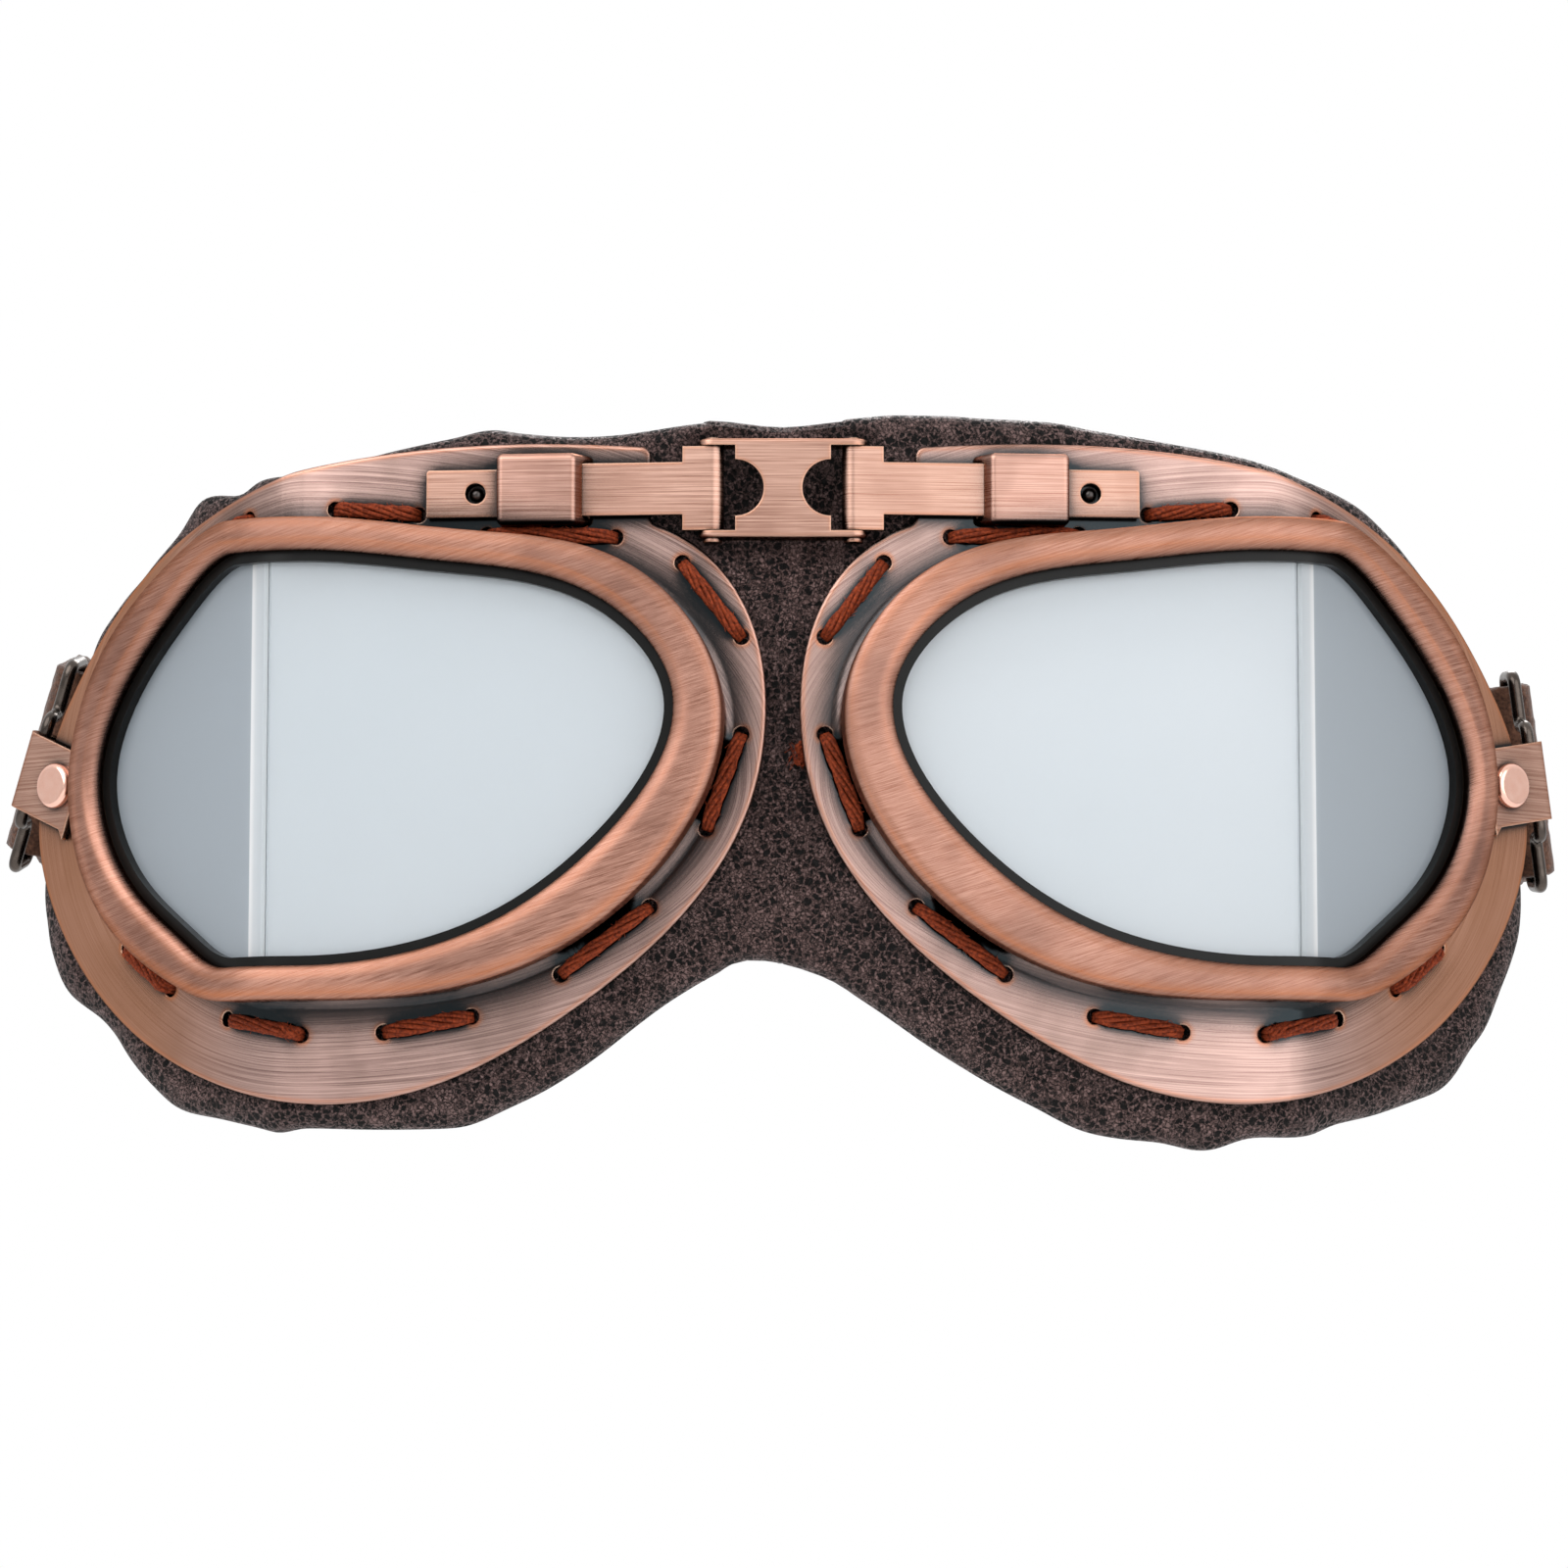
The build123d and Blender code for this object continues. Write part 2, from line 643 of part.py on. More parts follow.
strap_bow = loop_radius + strap_loop_gap
strap_middle = wire_radius + strap_loop_gap + strap_sheet / 2
for side, turn in bracket_turns.items():
    # Strap bracket: sheet folded round the ring's bar, both legs on the rivet
    bracket = bracket_plane(turn)
    with BuildPart() as strap_bracket:
        with BuildSketch(Plane(rivet_spot, x_dir=bracket.x_dir, z_dir=-bracket.y_dir)):
            with Locations((bracket_reach, loop_depth)):
                Circle(loop_radius + bracket_sheet)
            with Locations((bracket_reach, bracket_lift)):
                Rectangle(bracket_reach + bracket_inner, bracket_sheet, align=(Align.MAX, Align.MIN))
            with Locations((bracket_reach, bracket_rear)):
                Rectangle(bracket_reach + bracket_back, bracket_sheet, align=(Align.MAX, Align.MIN))
            with Locations((bracket_reach, loop_depth)):
                Circle(loop_radius, mode=Mode.SUBTRACT)
                Rectangle(
                    bracket_reach + overrun,
                    2 * loop_radius,
                    align=(Align.MAX, Align.CENTER),
                    mode=Mode.SUBTRACT,
                )
        extrude(amount=bracket_width / 2, both=True)
        with BuildSketch(bracket.offset(bracket_lift)):
            with Locations((-bracket_inner, 0)):
                Trapezoid(
                    bracket_width + 2 * bracket_horn,
                    bracket_horn,
                    horn_slope,
                    rotation=-quarter_turn,
                    align=(Align.CENTER, Align.MIN),
                )
        extrude(amount=bracket_sheet)
        with BuildSketch(bracket):
            Circle(rivet_radius + rivet_fit)
        extrude(amount=overrun, both=True, mode=Mode.SUBTRACT)
    # Wire ring with a narrow neck in the bracket and a wide bar for the strap
    ring = ring_plane(turn)
    ring_corners = [
        (0, ring_neck_half),
        (ring_neck_length, ring_neck_half),
        (ring_neck_length, ring_half),
        (ring_length, ring_half),
    ]
    far_corners = [(x, -y) for x, y in reversed(ring_corners)]
    with BuildPart() as strap_ring:
        with BuildLine(ring):
            wire = FilletPolyline(*ring_corners, *far_corners, radius=wire_bend, close=True)
        with BuildSketch(Plane(wire @ 0, z_dir=wire % 0)):
            Circle(wire_radius)
        sweep(path=wire)
    # Strap end sewn round the ring's wide bar
    with BuildPart() as strap_end:
        with BuildSketch(Plane(ring.origin, x_dir=ring.x_dir, z_dir=-ring.y_dir)):
            with Locations((ring_length, 0)):
                Circle(strap_middle + strap_sheet / 2)
                Rectangle(
                    strap_end_length,
                    2 * strap_middle + strap_sheet,
                    align=(Align.MIN, Align.CENTER),
                )
                Circle(strap_middle - strap_sheet / 2, mode=Mode.SUBTRACT)
                Rectangle(
                    strap_end_length,
                    2 * strap_middle - strap_sheet,
                    align=(Align.MIN, Align.CENTER),
                    mode=Mode.SUBTRACT,
                )
        extrude(amount=strap_width / 2, both=True)
    # Strap run from the sewn end to the band behind the head
    leg_end = Plane(
        ring.from_local_coords((ring_length + strap_end_length + strap_joint_gap, 0, strap_middle)),
        x_dir=ring.z_dir,
        z_dir=ring.x_dir,
    )
    band_start = Plane(
        (strap_side_reach, strap_side_back - strap_joint_gap, strap_level),
        x_dir=(1, 0, 0),
        z_dir=(0, 1, 0),
    )
    with BuildPart() as strap_side:
        for end in (leg_end, band_start):
            with BuildSketch(end):
                Rectangle(strap_sheet, strap_width)
        loft()
    for piece, name in (
        (strap_bracket, "strap_bracket"),
        (strap_ring, "strap_ring"),
        (strap_end, "strap_end"),
        (strap_side, "strap_side"),
    ):
        if side == "left":
            keep(piece, "left_" + name)
        else:
            keep_twin(piece, name)

# Elastic band round the back of the head
with BuildPart() as strap_band:
    with BuildSketch(Plane.XY.offset(strap_level - strap_width / 2)):
        with BuildLine() as band_line:
            FilletPolyline(
                (-strap_side_reach, strap_side_back),
                (-strap_side_reach, strap_back),
                (strap_side_reach, strap_back),
                (strap_side_reach, strap_side_back),
                radius=strap_turn,
            )
        trace(band_line.line, strap_sheet)
    extrude(amount=strap_width)
keep(strap_band, "strap_band")

# Adjuster: end bars inside the band, a middle bar outside it and rails above and below
adjuster_height = strap_width + 2 * (adjuster_gap + adjuster_rail)
bar_step = strap_sheet / 2 + adjuster_gap
adjuster_plane = Plane((adjuster_place, strap_back, strap_level), x_dir=(1, 0, 0), z_dir=(0, -1, 0))
with BuildPart() as strap_adjuster:
    with BuildSketch(adjuster_plane.offset(-bar_step - adjuster_sheet)):
        Rectangle(adjuster_length, adjuster_height)
        Rectangle(adjuster_length, adjuster_height - 2 * adjuster_rail, mode=Mode.SUBTRACT)
    extrude(amount=2 * (bar_step + adjuster_sheet))
    fillet(strap_adjuster.edges().filter_by(Axis.Y).group_by(Axis.X)[0], radius=adjuster_round)
    fillet(strap_adjuster.edges().filter_by(Axis.Y).group_by(Axis.X)[-1], radius=adjuster_round)
    with BuildSketch(adjuster_plane.offset(bar_step)):
        with Locations((-(adjuster_length - adjuster_bar) / 2, 0), ((adjuster_length - adjuster_bar) / 2, 0)):
            Rectangle(adjuster_bar, adjuster_height - 2 * adjuster_rail)
    extrude(amount=adjuster_sheet)
    with BuildSketch(adjuster_plane.offset(-bar_step)):
        Rectangle(adjuster_bar, adjuster_height - 2 * adjuster_rail)
    extrude(amount=-adjuster_sheet)
keep(strap_adjuster, "strap_adjuster")


def cushion(inset, opening_inset, back, front, rounded, radius):
    """Wavy padded slab behind the eye plate, mitred at the bend, crowned and open for the eye."""
    nose, temple, high, low = plate_reaches
    reaches = (
        nose,
        temple * mask_temple_share - inset,
        high + mask_top_margin - inset,
        low + mask_bottom_margin - inset,
    )
    around_shares = mask_top_shares + mask_temple_shares + mask_low_shares + mask_cheek_shares
    with BuildSketch() as slab_face:
        Rectangle(2 * span, 2 * span)
    with BuildPart() as padding:
        for side in (-1, 1):
            add(mitred(slab_face.sketch, side, back, front))
        with BuildSketch(front_plane.offset(-span)):
            with BuildLine():
                edge = Spline(*spread(around_shares, reaches))
                Polyline(edge @ 1, (-span, (edge @ 1).Y), (-span, (edge @ 0).Y), edge @ 0)
            make_face()
        extrude(amount=2 * span, mode=Mode.INTERSECT)
        fillet(ShapeList(edges_at(padding, rounded)).filter_by(GeomType.BSPLINE), radius=radius)
        for side in (-1, 1):
            opening = lens_half(rim_outline, side, opening_inset, overrun)
            add(mitred(opening, side, back - overrun, front + overrun), mode=Mode.SUBTRACT)
    return padding.part


# Leather mask of one cup, with pockets for the metal that moves behind the plate
mask_front = -plate_sheet - mask_gap
mask_back = mask_front - mask_sheet
with BuildPart() as mask:
    add(cushion(0, mask_opening_inset, mask_back, mask_front, mask_front, mask_round))
    split(bisect_by=Plane.YZ.offset(mask_nose_side), keep=Keep.TOP)
    with BuildSketch(cup_plane.offset(mask_front)):
        with Locations((catch_reach - spring_foot - pocket_room, tail_middle)):
            Rectangle(
                spring_foot + spring_toe + 2 * pocket_room,
                spring_width + 2 * pocket_room,
                align=(Align.MIN, Align.CENTER),
            )
    extrude(amount=-spring_pocket, mode=Mode.SUBTRACT)
    with BuildSketch(cup_plane.offset(mask_front)):
        with Locations((link_pocket_reach, bar_height)):
            Rectangle(overrun, link_height + 2 * pocket_room, align=(Align.MAX, Align.CENTER))
    extrude(amount=-link_pocket, mode=Mode.SUBTRACT)
    with BuildSketch(side_plane.offset(mask_front)):
        with Locations((rivet_reach, rivet_height)):
            Circle(bracket_pocket_radius)
    extrude(amount=-bracket_pocket, mode=Mode.SUBTRACT)
keep_pair(mask, "mask")

# Face pad behind the mask, sloped away from the nose and crowned where it meets the face
pad_front = mask_back - mask_seam_gap
pad_back = pad_front - pad_depth
with BuildPart() as face_pad:
    pad_opening = mask_opening_inset - pad_widening
    add(cushion(pad_inset, pad_opening, pad_back, pad_front, pad_back, pad_round))
    slope = Vector(pad_nose_side - mask_nose_side, pad_depth, 0)
    slope_spot = (mask_nose_side, -pad_depth, 0)
    split(bisect_by=Plane(slope_spot, x_dir=slope, z_dir=slope.cross(Vector(0, 0, 1))), keep=Keep.TOP)
keep_pair(face_pad, "face_pad")

# Leather between the cups, arched over the nose
with BuildPart() as nose_bridge:
    with BuildSketch(Plane((0, -face_stand + nose_back, 0), x_dir=(1, 0, 0), z_dir=(0, -1, 0))):
        with BuildLine():
            top = rim_high + plate_top_margin + nose_top_margin
            Polyline(
                (-nose_half, -nose_arch), (-nose_half, top), (nose_half, top), (nose_half, -nose_arch)
            )
            ThreePointArc(
                (nose_half, -nose_arch), (0, nose_arch_rise - nose_arch), (-nose_half, -nose_arch)
            )
        make_face()
    extrude(amount=-nose_sheet)
keep(nose_bridge, "nose_bridge")
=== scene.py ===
"""Looks of a pair of split-lens aviator goggles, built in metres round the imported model."""

from math import atan2, cos, exp, hypot, log, pi, radians, sin, tan
from random import Random

import bmesh
import bpy
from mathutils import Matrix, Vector, noise


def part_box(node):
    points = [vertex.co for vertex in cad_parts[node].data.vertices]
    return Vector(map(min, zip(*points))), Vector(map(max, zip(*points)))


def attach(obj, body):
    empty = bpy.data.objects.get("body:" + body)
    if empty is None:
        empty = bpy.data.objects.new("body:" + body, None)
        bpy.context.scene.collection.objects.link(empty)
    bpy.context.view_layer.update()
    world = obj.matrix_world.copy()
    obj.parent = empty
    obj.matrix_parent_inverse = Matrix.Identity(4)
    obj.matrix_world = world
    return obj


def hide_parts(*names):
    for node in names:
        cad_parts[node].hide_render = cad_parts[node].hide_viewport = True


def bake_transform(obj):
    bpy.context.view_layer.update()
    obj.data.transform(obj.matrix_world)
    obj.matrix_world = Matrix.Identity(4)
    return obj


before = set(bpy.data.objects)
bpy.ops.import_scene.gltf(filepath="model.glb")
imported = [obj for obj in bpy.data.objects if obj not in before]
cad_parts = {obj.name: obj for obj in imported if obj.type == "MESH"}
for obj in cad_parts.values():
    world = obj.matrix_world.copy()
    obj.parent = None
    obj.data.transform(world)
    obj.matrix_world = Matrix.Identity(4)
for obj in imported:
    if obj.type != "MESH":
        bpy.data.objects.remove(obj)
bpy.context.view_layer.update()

MM = 0.001

# Camera
# The goggles are seen straight on from 600 mm away and 65 mm below the eyes.
# The lens and the small shift give the photograph's square frame.
eye_spot = Vector((0, -618, -65)) * MM
aim_spot = Vector((0, -18, 0)) * MM
view_lens = bpy.data.cameras.new("view")
view_lens.sensor_width = 36.0
view_lens.lens = 116.7
view_lens.shift_x = 0.0006
view_lens.shift_y = -0.0063
view_lens.clip_start = 10 * MM
view = bpy.data.objects.new("view", view_lens)
view.location = eye_spot
view.rotation_euler = (aim_spot - eye_spot).to_track_quat("-Z", "Y").to_euler()
bpy.context.scene.collection.objects.link(view)
bpy.context.scene.camera = view
bpy.context.scene.view_settings.view_transform = "Standard"


def colour(code):
    """Linear colour of an sRGB hex code."""
    shares = [int(code[start : start + 2], 16) / 255 for start in (1, 3, 5)]
    return (*[((s + 0.055) / 1.055) ** 2.4 if s > 0.04045 else s / 12.92 for s in shares], 1.0)


def add_node(tree, kind, sockets=(), output=0, **settings):
    """Add a node with its settings, set or feed its sockets in order or by name, give an output."""
    node = tree.nodes.new("ShaderNode" + kind)
    for name, value in settings.items():
        setattr(node, name, value)
    for place, value in sockets.items() if isinstance(sockets, dict) else enumerate(sockets):
        if isinstance(value, bpy.types.NodeSocket):
            tree.links.new(value, node.inputs[place])
        else:
            node.inputs[place].default_value = value
    return node.outputs[output] if len(node.outputs) else None


# Studio
# White surroundings seen by the camera and in gloss, a softer level that lights the object,
# and two broad lamps in front. The floor is pale and stays under the camera's frame.
diffuse_level = 0.62
surround = bpy.data.worlds.new("studio")
surround.use_nodes = True
sky = surround.node_tree
sky.nodes.clear()
rays = add_node(sky, "LightPath").node.outputs
seen = add_node(sky, "Math", (rays["Is Camera Ray"], rays["Is Transmission Ray"]), operation="MAXIMUM")
heading = add_node(sky, "SeparateXYZ", (add_node(sky, "TexCoord", output="Generated"),)).node.outputs
to_flank = add_node(sky, "Math", (heading["X"],), operation="ABSOLUTE")
gloss_level = 1.0
for way, start, end, first_level, last_level in (
    (heading["Y"], -1.0, 0.2, 0.75, 1.0),
    (heading["Z"], -0.9, 0.8, 0.55, 1.05),
    (to_flank, 0.3, 1.0, 1.0, 0.92),
):
    share = add_node(sky, "MapRange", (way, start, end, first_level, last_level))
    gloss_level = add_node(sky, "Math", (gloss_level, share), operation="MULTIPLY")
unseen_level = add_node(
    sky, "Mix", {0: rays["Is Glossy Ray"], 2: diffuse_level, 3: gloss_level}, data_type="FLOAT"
)
level = add_node(sky, "Mix", {0: seen, 2: unseen_level, 3: 1.0}, data_type="FLOAT")
white_sky = add_node(sky, "Background", {"Color": colour("#ffffff"), "Strength": level})
add_node(sky, "OutputWorld", {"Surface": white_sky})
bpy.context.scene.world = surround

for name, spot, size, power in (
    ("key", (-420, -520, 520), 900, 5.6),
    ("fill", (460, -560, 160), 900, 3.2),
    ("back", (120, 520, 480), 420, 3.4),
):
    lamp = bpy.data.lights.new(name, "AREA")
    lamp.shape = "DISK"
    lamp.size = size * MM
    lamp.energy = power
    holder = bpy.data.objects.new(name, lamp)
    holder.location = Vector(spot) * MM
    holder.rotation_euler = (-holder.location).to_track_quat("-Z", "Y").to_euler()
    bpy.context.scene.collection.objects.link(holder)


def new_finish(name, constants):
    """New material, its node tree and its shader with plain numbers set."""
    material = bpy.data.materials.new(name)
    material.use_nodes = True
    tree = material.node_tree
    tree.nodes.clear()
    shader = add_node(tree, "BsdfPrincipled", constants).node
    add_node(tree, "OutputMaterial", {"Surface": shader.outputs[0]})
    return material, tree, shader


def piece_from(mesh, name, finish, body, sharp_past=None):
    """Object for a finished mesh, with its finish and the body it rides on."""
    for face in mesh.polygons:
        face.use_smooth = True
    if sharp_past:
        mesh.set_sharp_from_angle(angle=radians(sharp_past))
    piece = bpy.data.objects.new(name, mesh)
    bpy.context.scene.collection.objects.link(piece)
    mesh.materials.append(finish)
    if body:
        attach(piece, body)
    return piece


floor_level = -165.0
floor_half = 1400.0
floor_glow = 0.30
ground = bmesh.new()
bmesh.ops.create_grid(ground, x_segments=2, y_segments=2, size=floor_half * MM)
bmesh.ops.translate(ground, verts=ground.verts, vec=(0, 0, floor_level * MM))
floor_mesh = bpy.data.meshes.new("floor")
ground.to_mesh(floor_mesh)
ground.free()
floor = bpy.data.objects.new("floor", floor_mesh)
bpy.context.scene.collection.objects.link(floor)
pale_floor, floor_tree, floor_shader = new_finish(
    "painted_floor",
    {"Base Color": colour("#e6e6e6"), "Roughness": 0.8, "Emission Color": colour("#ffffff")},
)
floor_seen = add_node(floor_tree, "LightPath", output="Is Camera Ray")
glow_seen = add_node(floor_tree, "Math", (floor_seen, floor_glow), operation="MULTIPLY")
floor_tree.links.new(glow_seen, floor_shader.inputs["Emission Strength"])
floor_mesh.materials.append(pale_floor)

# Copper plates and bars
# Stamped brass with antique copper plating: dipped dark, then brushed back with grit, so the
# high places are pink copper, the brush lines show and the corners keep their grey-brown film.
lens_middle = 57.4
lens_nose_reach, lens_temple_reach, lens_high, lens_low = 51.2, 24.5, 30.3, 27.0
stroke_width, stroke_length = 0.17, 18.0
scratch_length, scratch_width, scratch_turn = 4.5, 0.13, 18.0
film_blotch, recess_reach, edge_width = 14.0, 6.0, 0.3
cup_turn, fold_turn = 5.0, 34.0
fold_spot, fold_soft = (57.25, -8.71), 9.0
line_contrast, blotch_contrast = (0.36, 0.64), (0.46, 0.72)
temple_band = (62 * MM, 80 * MM)
edge_leans, glow_leans, roll_tilts = (0.99, 0.86), (0.998, 0.94), (0.03, 0.35)
film_openings = (0.96, 0.66)
line_polish, film_polish = (0.26, 0.42), 0.12
line_strength, line_depth = (0.45, 0.05), 0.03
# Painted light in these colours: the bright and orange edges are part wear, part painted highlight; orange on
# the rim's downward faces is a painted reflection; the temple and upward-face colours are painted shade.
copper_film, copper_orange, copper_wear_and_highlight = colour("#262d30"), colour("#c9794a"), colour("#f4cdb4")
copper_temple_shade, copper_upward_shade = colour("#ad7858"), colour("#6b4d41")


def straight_grain(tree, place):
    """Brush lines that run level along the piece."""
    scales = (1 / (stroke_length * MM), 1 / (stroke_length * MM), 1 / (stroke_width * MM))
    return add_node(tree, "Mapping", {"Vector": place, "Scale": scales})


def scratch_grain(tree, place):
    """Short fine scratches that lean across the rolled rim."""
    leaning = add_node(
        tree, "VectorRotate", {"Vector": place, "Angle": radians(scratch_turn)}, rotation_type="Y_AXIS"
    )
    scales = (1 / (scratch_length * MM), 1 / (scratch_length * MM), 1 / (scratch_width * MM))
    return add_node(tree, "Mapping", {"Vector": leaning, "Scale": scales})


def ring_grain(tree, place):
    """Brush lines that follow the outline of the lens on either cup."""
    parts = add_node(tree, "SeparateXYZ", (place,)).node.outputs
    out = add_node(tree, "Math", (parts["X"],), operation="ABSOLUTE")
    aside = add_node(tree, "Math", (out, lens_middle * MM), operation="SUBTRACT")
    high = parts["Z"]
    spreads = []
    for value, far_reach, near_reach in (
        (aside, lens_temple_reach, lens_nose_reach),
        (high, lens_high, lens_low),
    ):
        ahead = add_node(tree, "Math", (value, 1 / (far_reach * MM)), operation="MULTIPLY")
        behind = add_node(tree, "Math", (value, -1 / (near_reach * MM)), operation="MULTIPLY")
        spreads.append(add_node(tree, "Math", (ahead, behind), operation="MAXIMUM"))
    reach, far = [
        add_node(tree, "VectorMath", (add_node(tree, "CombineXYZ", pair),), output="Value", operation="LENGTH")
        for pair in (spreads, (aside, high))
    ]
    round_shares = [add_node(tree, "Math", (value, far), operation="DIVIDE") for value in (aside, high)]
    joined = add_node(tree, "CombineXYZ", (*round_shares, reach))
    turns = lens_high / stroke_length
    return add_node(
        tree, "VectorMath", (joined, (turns, turns, lens_high / stroke_width)), operation="MULTIPLY"
    )


def soft_fold(tree, place, normal):
    """Normal of a sheet that bends softly, over a few millimetres more than the solid's fold."""
    parts = add_node(tree, "SeparateXYZ", (place,)).node.outputs
    aside = add_node(tree, "Math", (parts["X"],), operation="ABSOLUTE")
    out = add_node(tree, "Math", (aside, fold_spot[0] * MM), operation="SUBTRACT")
    fore = add_node(tree, "Math", (fold_spot[1] * MM, parts["Y"]), operation="SUBTRACT")
    angle = add_node(tree, "Math", (out, fore), operation="ARCTAN2")
    drawn = add_node(tree, "MapRange", (angle, radians(cup_turn), radians(cup_turn + fold_turn)))
    lean = radians(cup_turn + fold_turn / 2)
    level_place = add_node(tree, "CombineXYZ", (out, fore))
    past = add_node(
        tree, "VectorMath", (level_place, (cos(lean), -sin(lean), 0)), output="Value", operation="DOT_PRODUCT"
    )
    eased = add_node(
        tree, "MapRange", (past, -fold_soft * MM, fold_soft * MM), interpolation_type="SMOOTHSTEP"
    )
    early = add_node(tree, "Math", (eased, drawn), operation="SUBTRACT")
    bend = add_node(tree, "Math", (early, radians(fold_turn)), operation="MULTIPLY")
    flank = add_node(tree, "Math", (parts["X"],), operation="SIGN")
    outward = add_node(tree, "Math", (bend, flank), operation="MULTIPLY")
    return add_node(tree, "VectorRotate", {"Vector": normal, "Angle": outward}, rotation_type="Z_AXIS")


def copper_finish(name, grain, tones, glow_width, glow, film=1.0, temple=0.0, rolled=False, folded=False):
    """Brushed antique copper whose lines follow a grain, its edges orange and pale: part wear, part painted
    highlight.
    """
    dark, pale, deep = [colour(code) for code in tones]
    metal, tree, shader = new_finish(name, {"Metallic": 1.0, "Specular Tint": colour("#b09a92")})
    place = add_node(tree, "TexCoord", output="Object")
    flat_normal = add_node(tree, "NewGeometry", output="Normal")
    lines = add_node(
        tree, "TexNoise", {"Vector": grain(tree, place), "Scale": 1.0, "Detail": 4.0, "Roughness": 0.7}
    )
    blotches = add_node(
        tree, "TexNoise", {"Vector": place, "Scale": 1 / (film_blotch * MM), "Detail": 3.0, "Roughness": 0.55}
    )
    openness = add_node(tree, "AmbientOcclusion", {"Distance": recess_reach * MM}, output="AO", samples=8)

    # How far the surface leans from its own normal, averaged over a width: the edges, given part wear and part
    # painted highlight
    soft_normal = add_node(tree, "Bevel", {"Radius": glow_width * MM}, samples=8)
    edge_normal = add_node(tree, "Bevel", {"Radius": edge_width * MM}, samples=4)
    glow_lean, edge_lean = [
        add_node(tree, "VectorMath", (normal, flat_normal), output="Value", operation="DOT_PRODUCT")
        for normal in (soft_normal, edge_normal)
    ]

    # Coats laid one over the other, each with its share
    coats = [
        (add_node(tree, "MapRange", (lines, *line_contrast)), pale),
        (add_node(tree, "MapRange", (blotches, *blotch_contrast, 0.0, 0.6 * film)), deep),
    ]
    if temple:
        # Painted shade: the temple side, turned away from the light, gets a darker orange-brown tone
        across = add_node(tree, "SeparateXYZ", (place,), output="X")
        aside = add_node(tree, "Math", (across,), operation="ABSOLUTE")
        temple_shade_share = add_node(
            tree, "MapRange", (aside, *temple_band, 0.0, temple), interpolation_type="SMOOTHSTEP"
        )
        coats.append((temple_shade_share, copper_temple_shade))
    if rolled:
        # Painted light on the rolled rim: faces tilted upward get a darker brown as painted shade, faces tilted
        # downward get orange as a painted reflection
        tilt = add_node(tree, "VectorMath", (soft_normal, flat_normal), operation="SUBTRACT")
        roll = add_node(tree, "SeparateXYZ", (tilt,), output="Z")
        upward_shade_share, downward_reflection_share = [
            add_node(
                tree,
                "MapRange",
                (roll, facing * roll_tilts[0], facing * roll_tilts[1], 0.0, most),
                interpolation_type="SMOOTHSTEP",
            )
            for facing, most in ((1, 0.6), (-1, glow))
        ]
        coats.append((upward_shade_share, copper_upward_shade))
        # Orange at the rim's edges: part wear, part painted highlight
        rim_edge_wear_and_highlight = add_node(tree, "MapRange", (glow_lean, *edge_leans, 0.0, 0.55 * glow))
        orange_wear_and_painted_light_share = add_node(tree, "Math", (rim_edge_wear_and_highlight, downward_reflection_share), operation="MAXIMUM")
    else:
        # Orange where the surface leans at its edges: part wear, part painted highlight
        orange_wear_and_painted_light_share = add_node(tree, "MapRange", (glow_lean, *glow_leans, 0.0, glow))
    film_share = add_node(tree, "MapRange", (openness, *film_openings, 0.0, 0.99 * film))
    # Narrow pale edges: part wear, part painted highlight
    edge_wear_and_highlight_share = add_node(tree, "MapRange", (edge_lean, *edge_leans, 0.0, 0.8))
    coats += [(orange_wear_and_painted_light_share, copper_orange), (film_share, copper_film), (edge_wear_and_highlight_share, copper_wear_and_highlight)]
    tone = dark
    for share, coat in coats:
        tone = add_node(tree, "Mix", {0: share, 6: tone, 7: coat}, output=2, data_type="RGBA")
    tree.links.new(tone, shader.inputs["Base Color"])

    matt = add_node(tree, "MapRange", (lines, 0.3, 0.7, *line_polish))
    polish = add_node(tree, "Mix", {0: film_share, 2: matt, 3: film_polish}, data_type="FLOAT")
    tree.links.new(polish, shader.inputs["Roughness"])
    normal = soft_normal if rolled else edge_normal
    grooves = {
        "Strength": add_node(tree, "MapRange", (film_share, 0.0, 0.8, *line_strength)),
        "Distance": line_depth * MM,
        "Height": lines,
        "Normal": soft_fold(tree, place, normal) if folded else normal,
    }
    tree.links.new(add_node(tree, "Bump", grooves), shader.inputs["Normal"])
    return metal


bar_copper = copper_finish(
    "brushed_copper_plating", straight_grain, ("#a77d6c", "#d3ac9b", "#90695a"), 0.8, 0.3, film=0.85
)
keeper_copper = copper_finish(
    "brushed_keeper_copper", straight_grain, ("#a17566", "#d2aa9b", "#7b5d51"), 1.0, 0.3
)
rim_copper = copper_finish(
    "brushed_rim_copper",
    scratch_grain,
    ("#936656", "#bb8f7e", "#6c5048"),
    2.3,
    0.65,
    film=0.9,
    rolled=True,
    folded=True,
)
plate_copper = copper_finish(
    "ring_brushed_copper_plating",
    ring_grain,
    ("#967972", "#ceaea4", "#736058"),
    1.3,
    0.6,
    temple=0.75,
    folded=True,
)


def give(finish, *nodes):
    """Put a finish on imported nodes, whose meshes stay as they are."""
    for node in nodes:
        for place in bpy.data.objects[node].material_slots:
            place.material = finish


sides = ("left", "right")
give(bar_copper, "bridge_link")
for side in sides:
    give(plate_copper, side + "_eye_plate")
    give(rim_copper, side + "_rim")
    give(keeper_copper, side + "_keeper")
    give(bar_copper, *[side + "_" + node for node in ("slider", "hinge_pin", "strap_bracket")])


def mottle(tree, shader, size, detail, low, high, contrast=(0.0, 1.0)):
    """Colour a surface between two tones, in patches of a size in mm, and give the pattern."""
    place = add_node(tree, "TexCoord", output="Object")
    pattern = add_node(tree, "TexNoise", {"Vector": place, "Scale": 1 / (size * MM), "Detail": detail})
    share = add_node(tree, "MapRange", (pattern, *contrast))
    tone = add_node(tree, "Mix", {0: share, 6: colour(low), 7: colour(high)}, output=2, data_type="RGBA")
    tree.links.new(tone, shader.inputs["Base Color"])
    return pattern


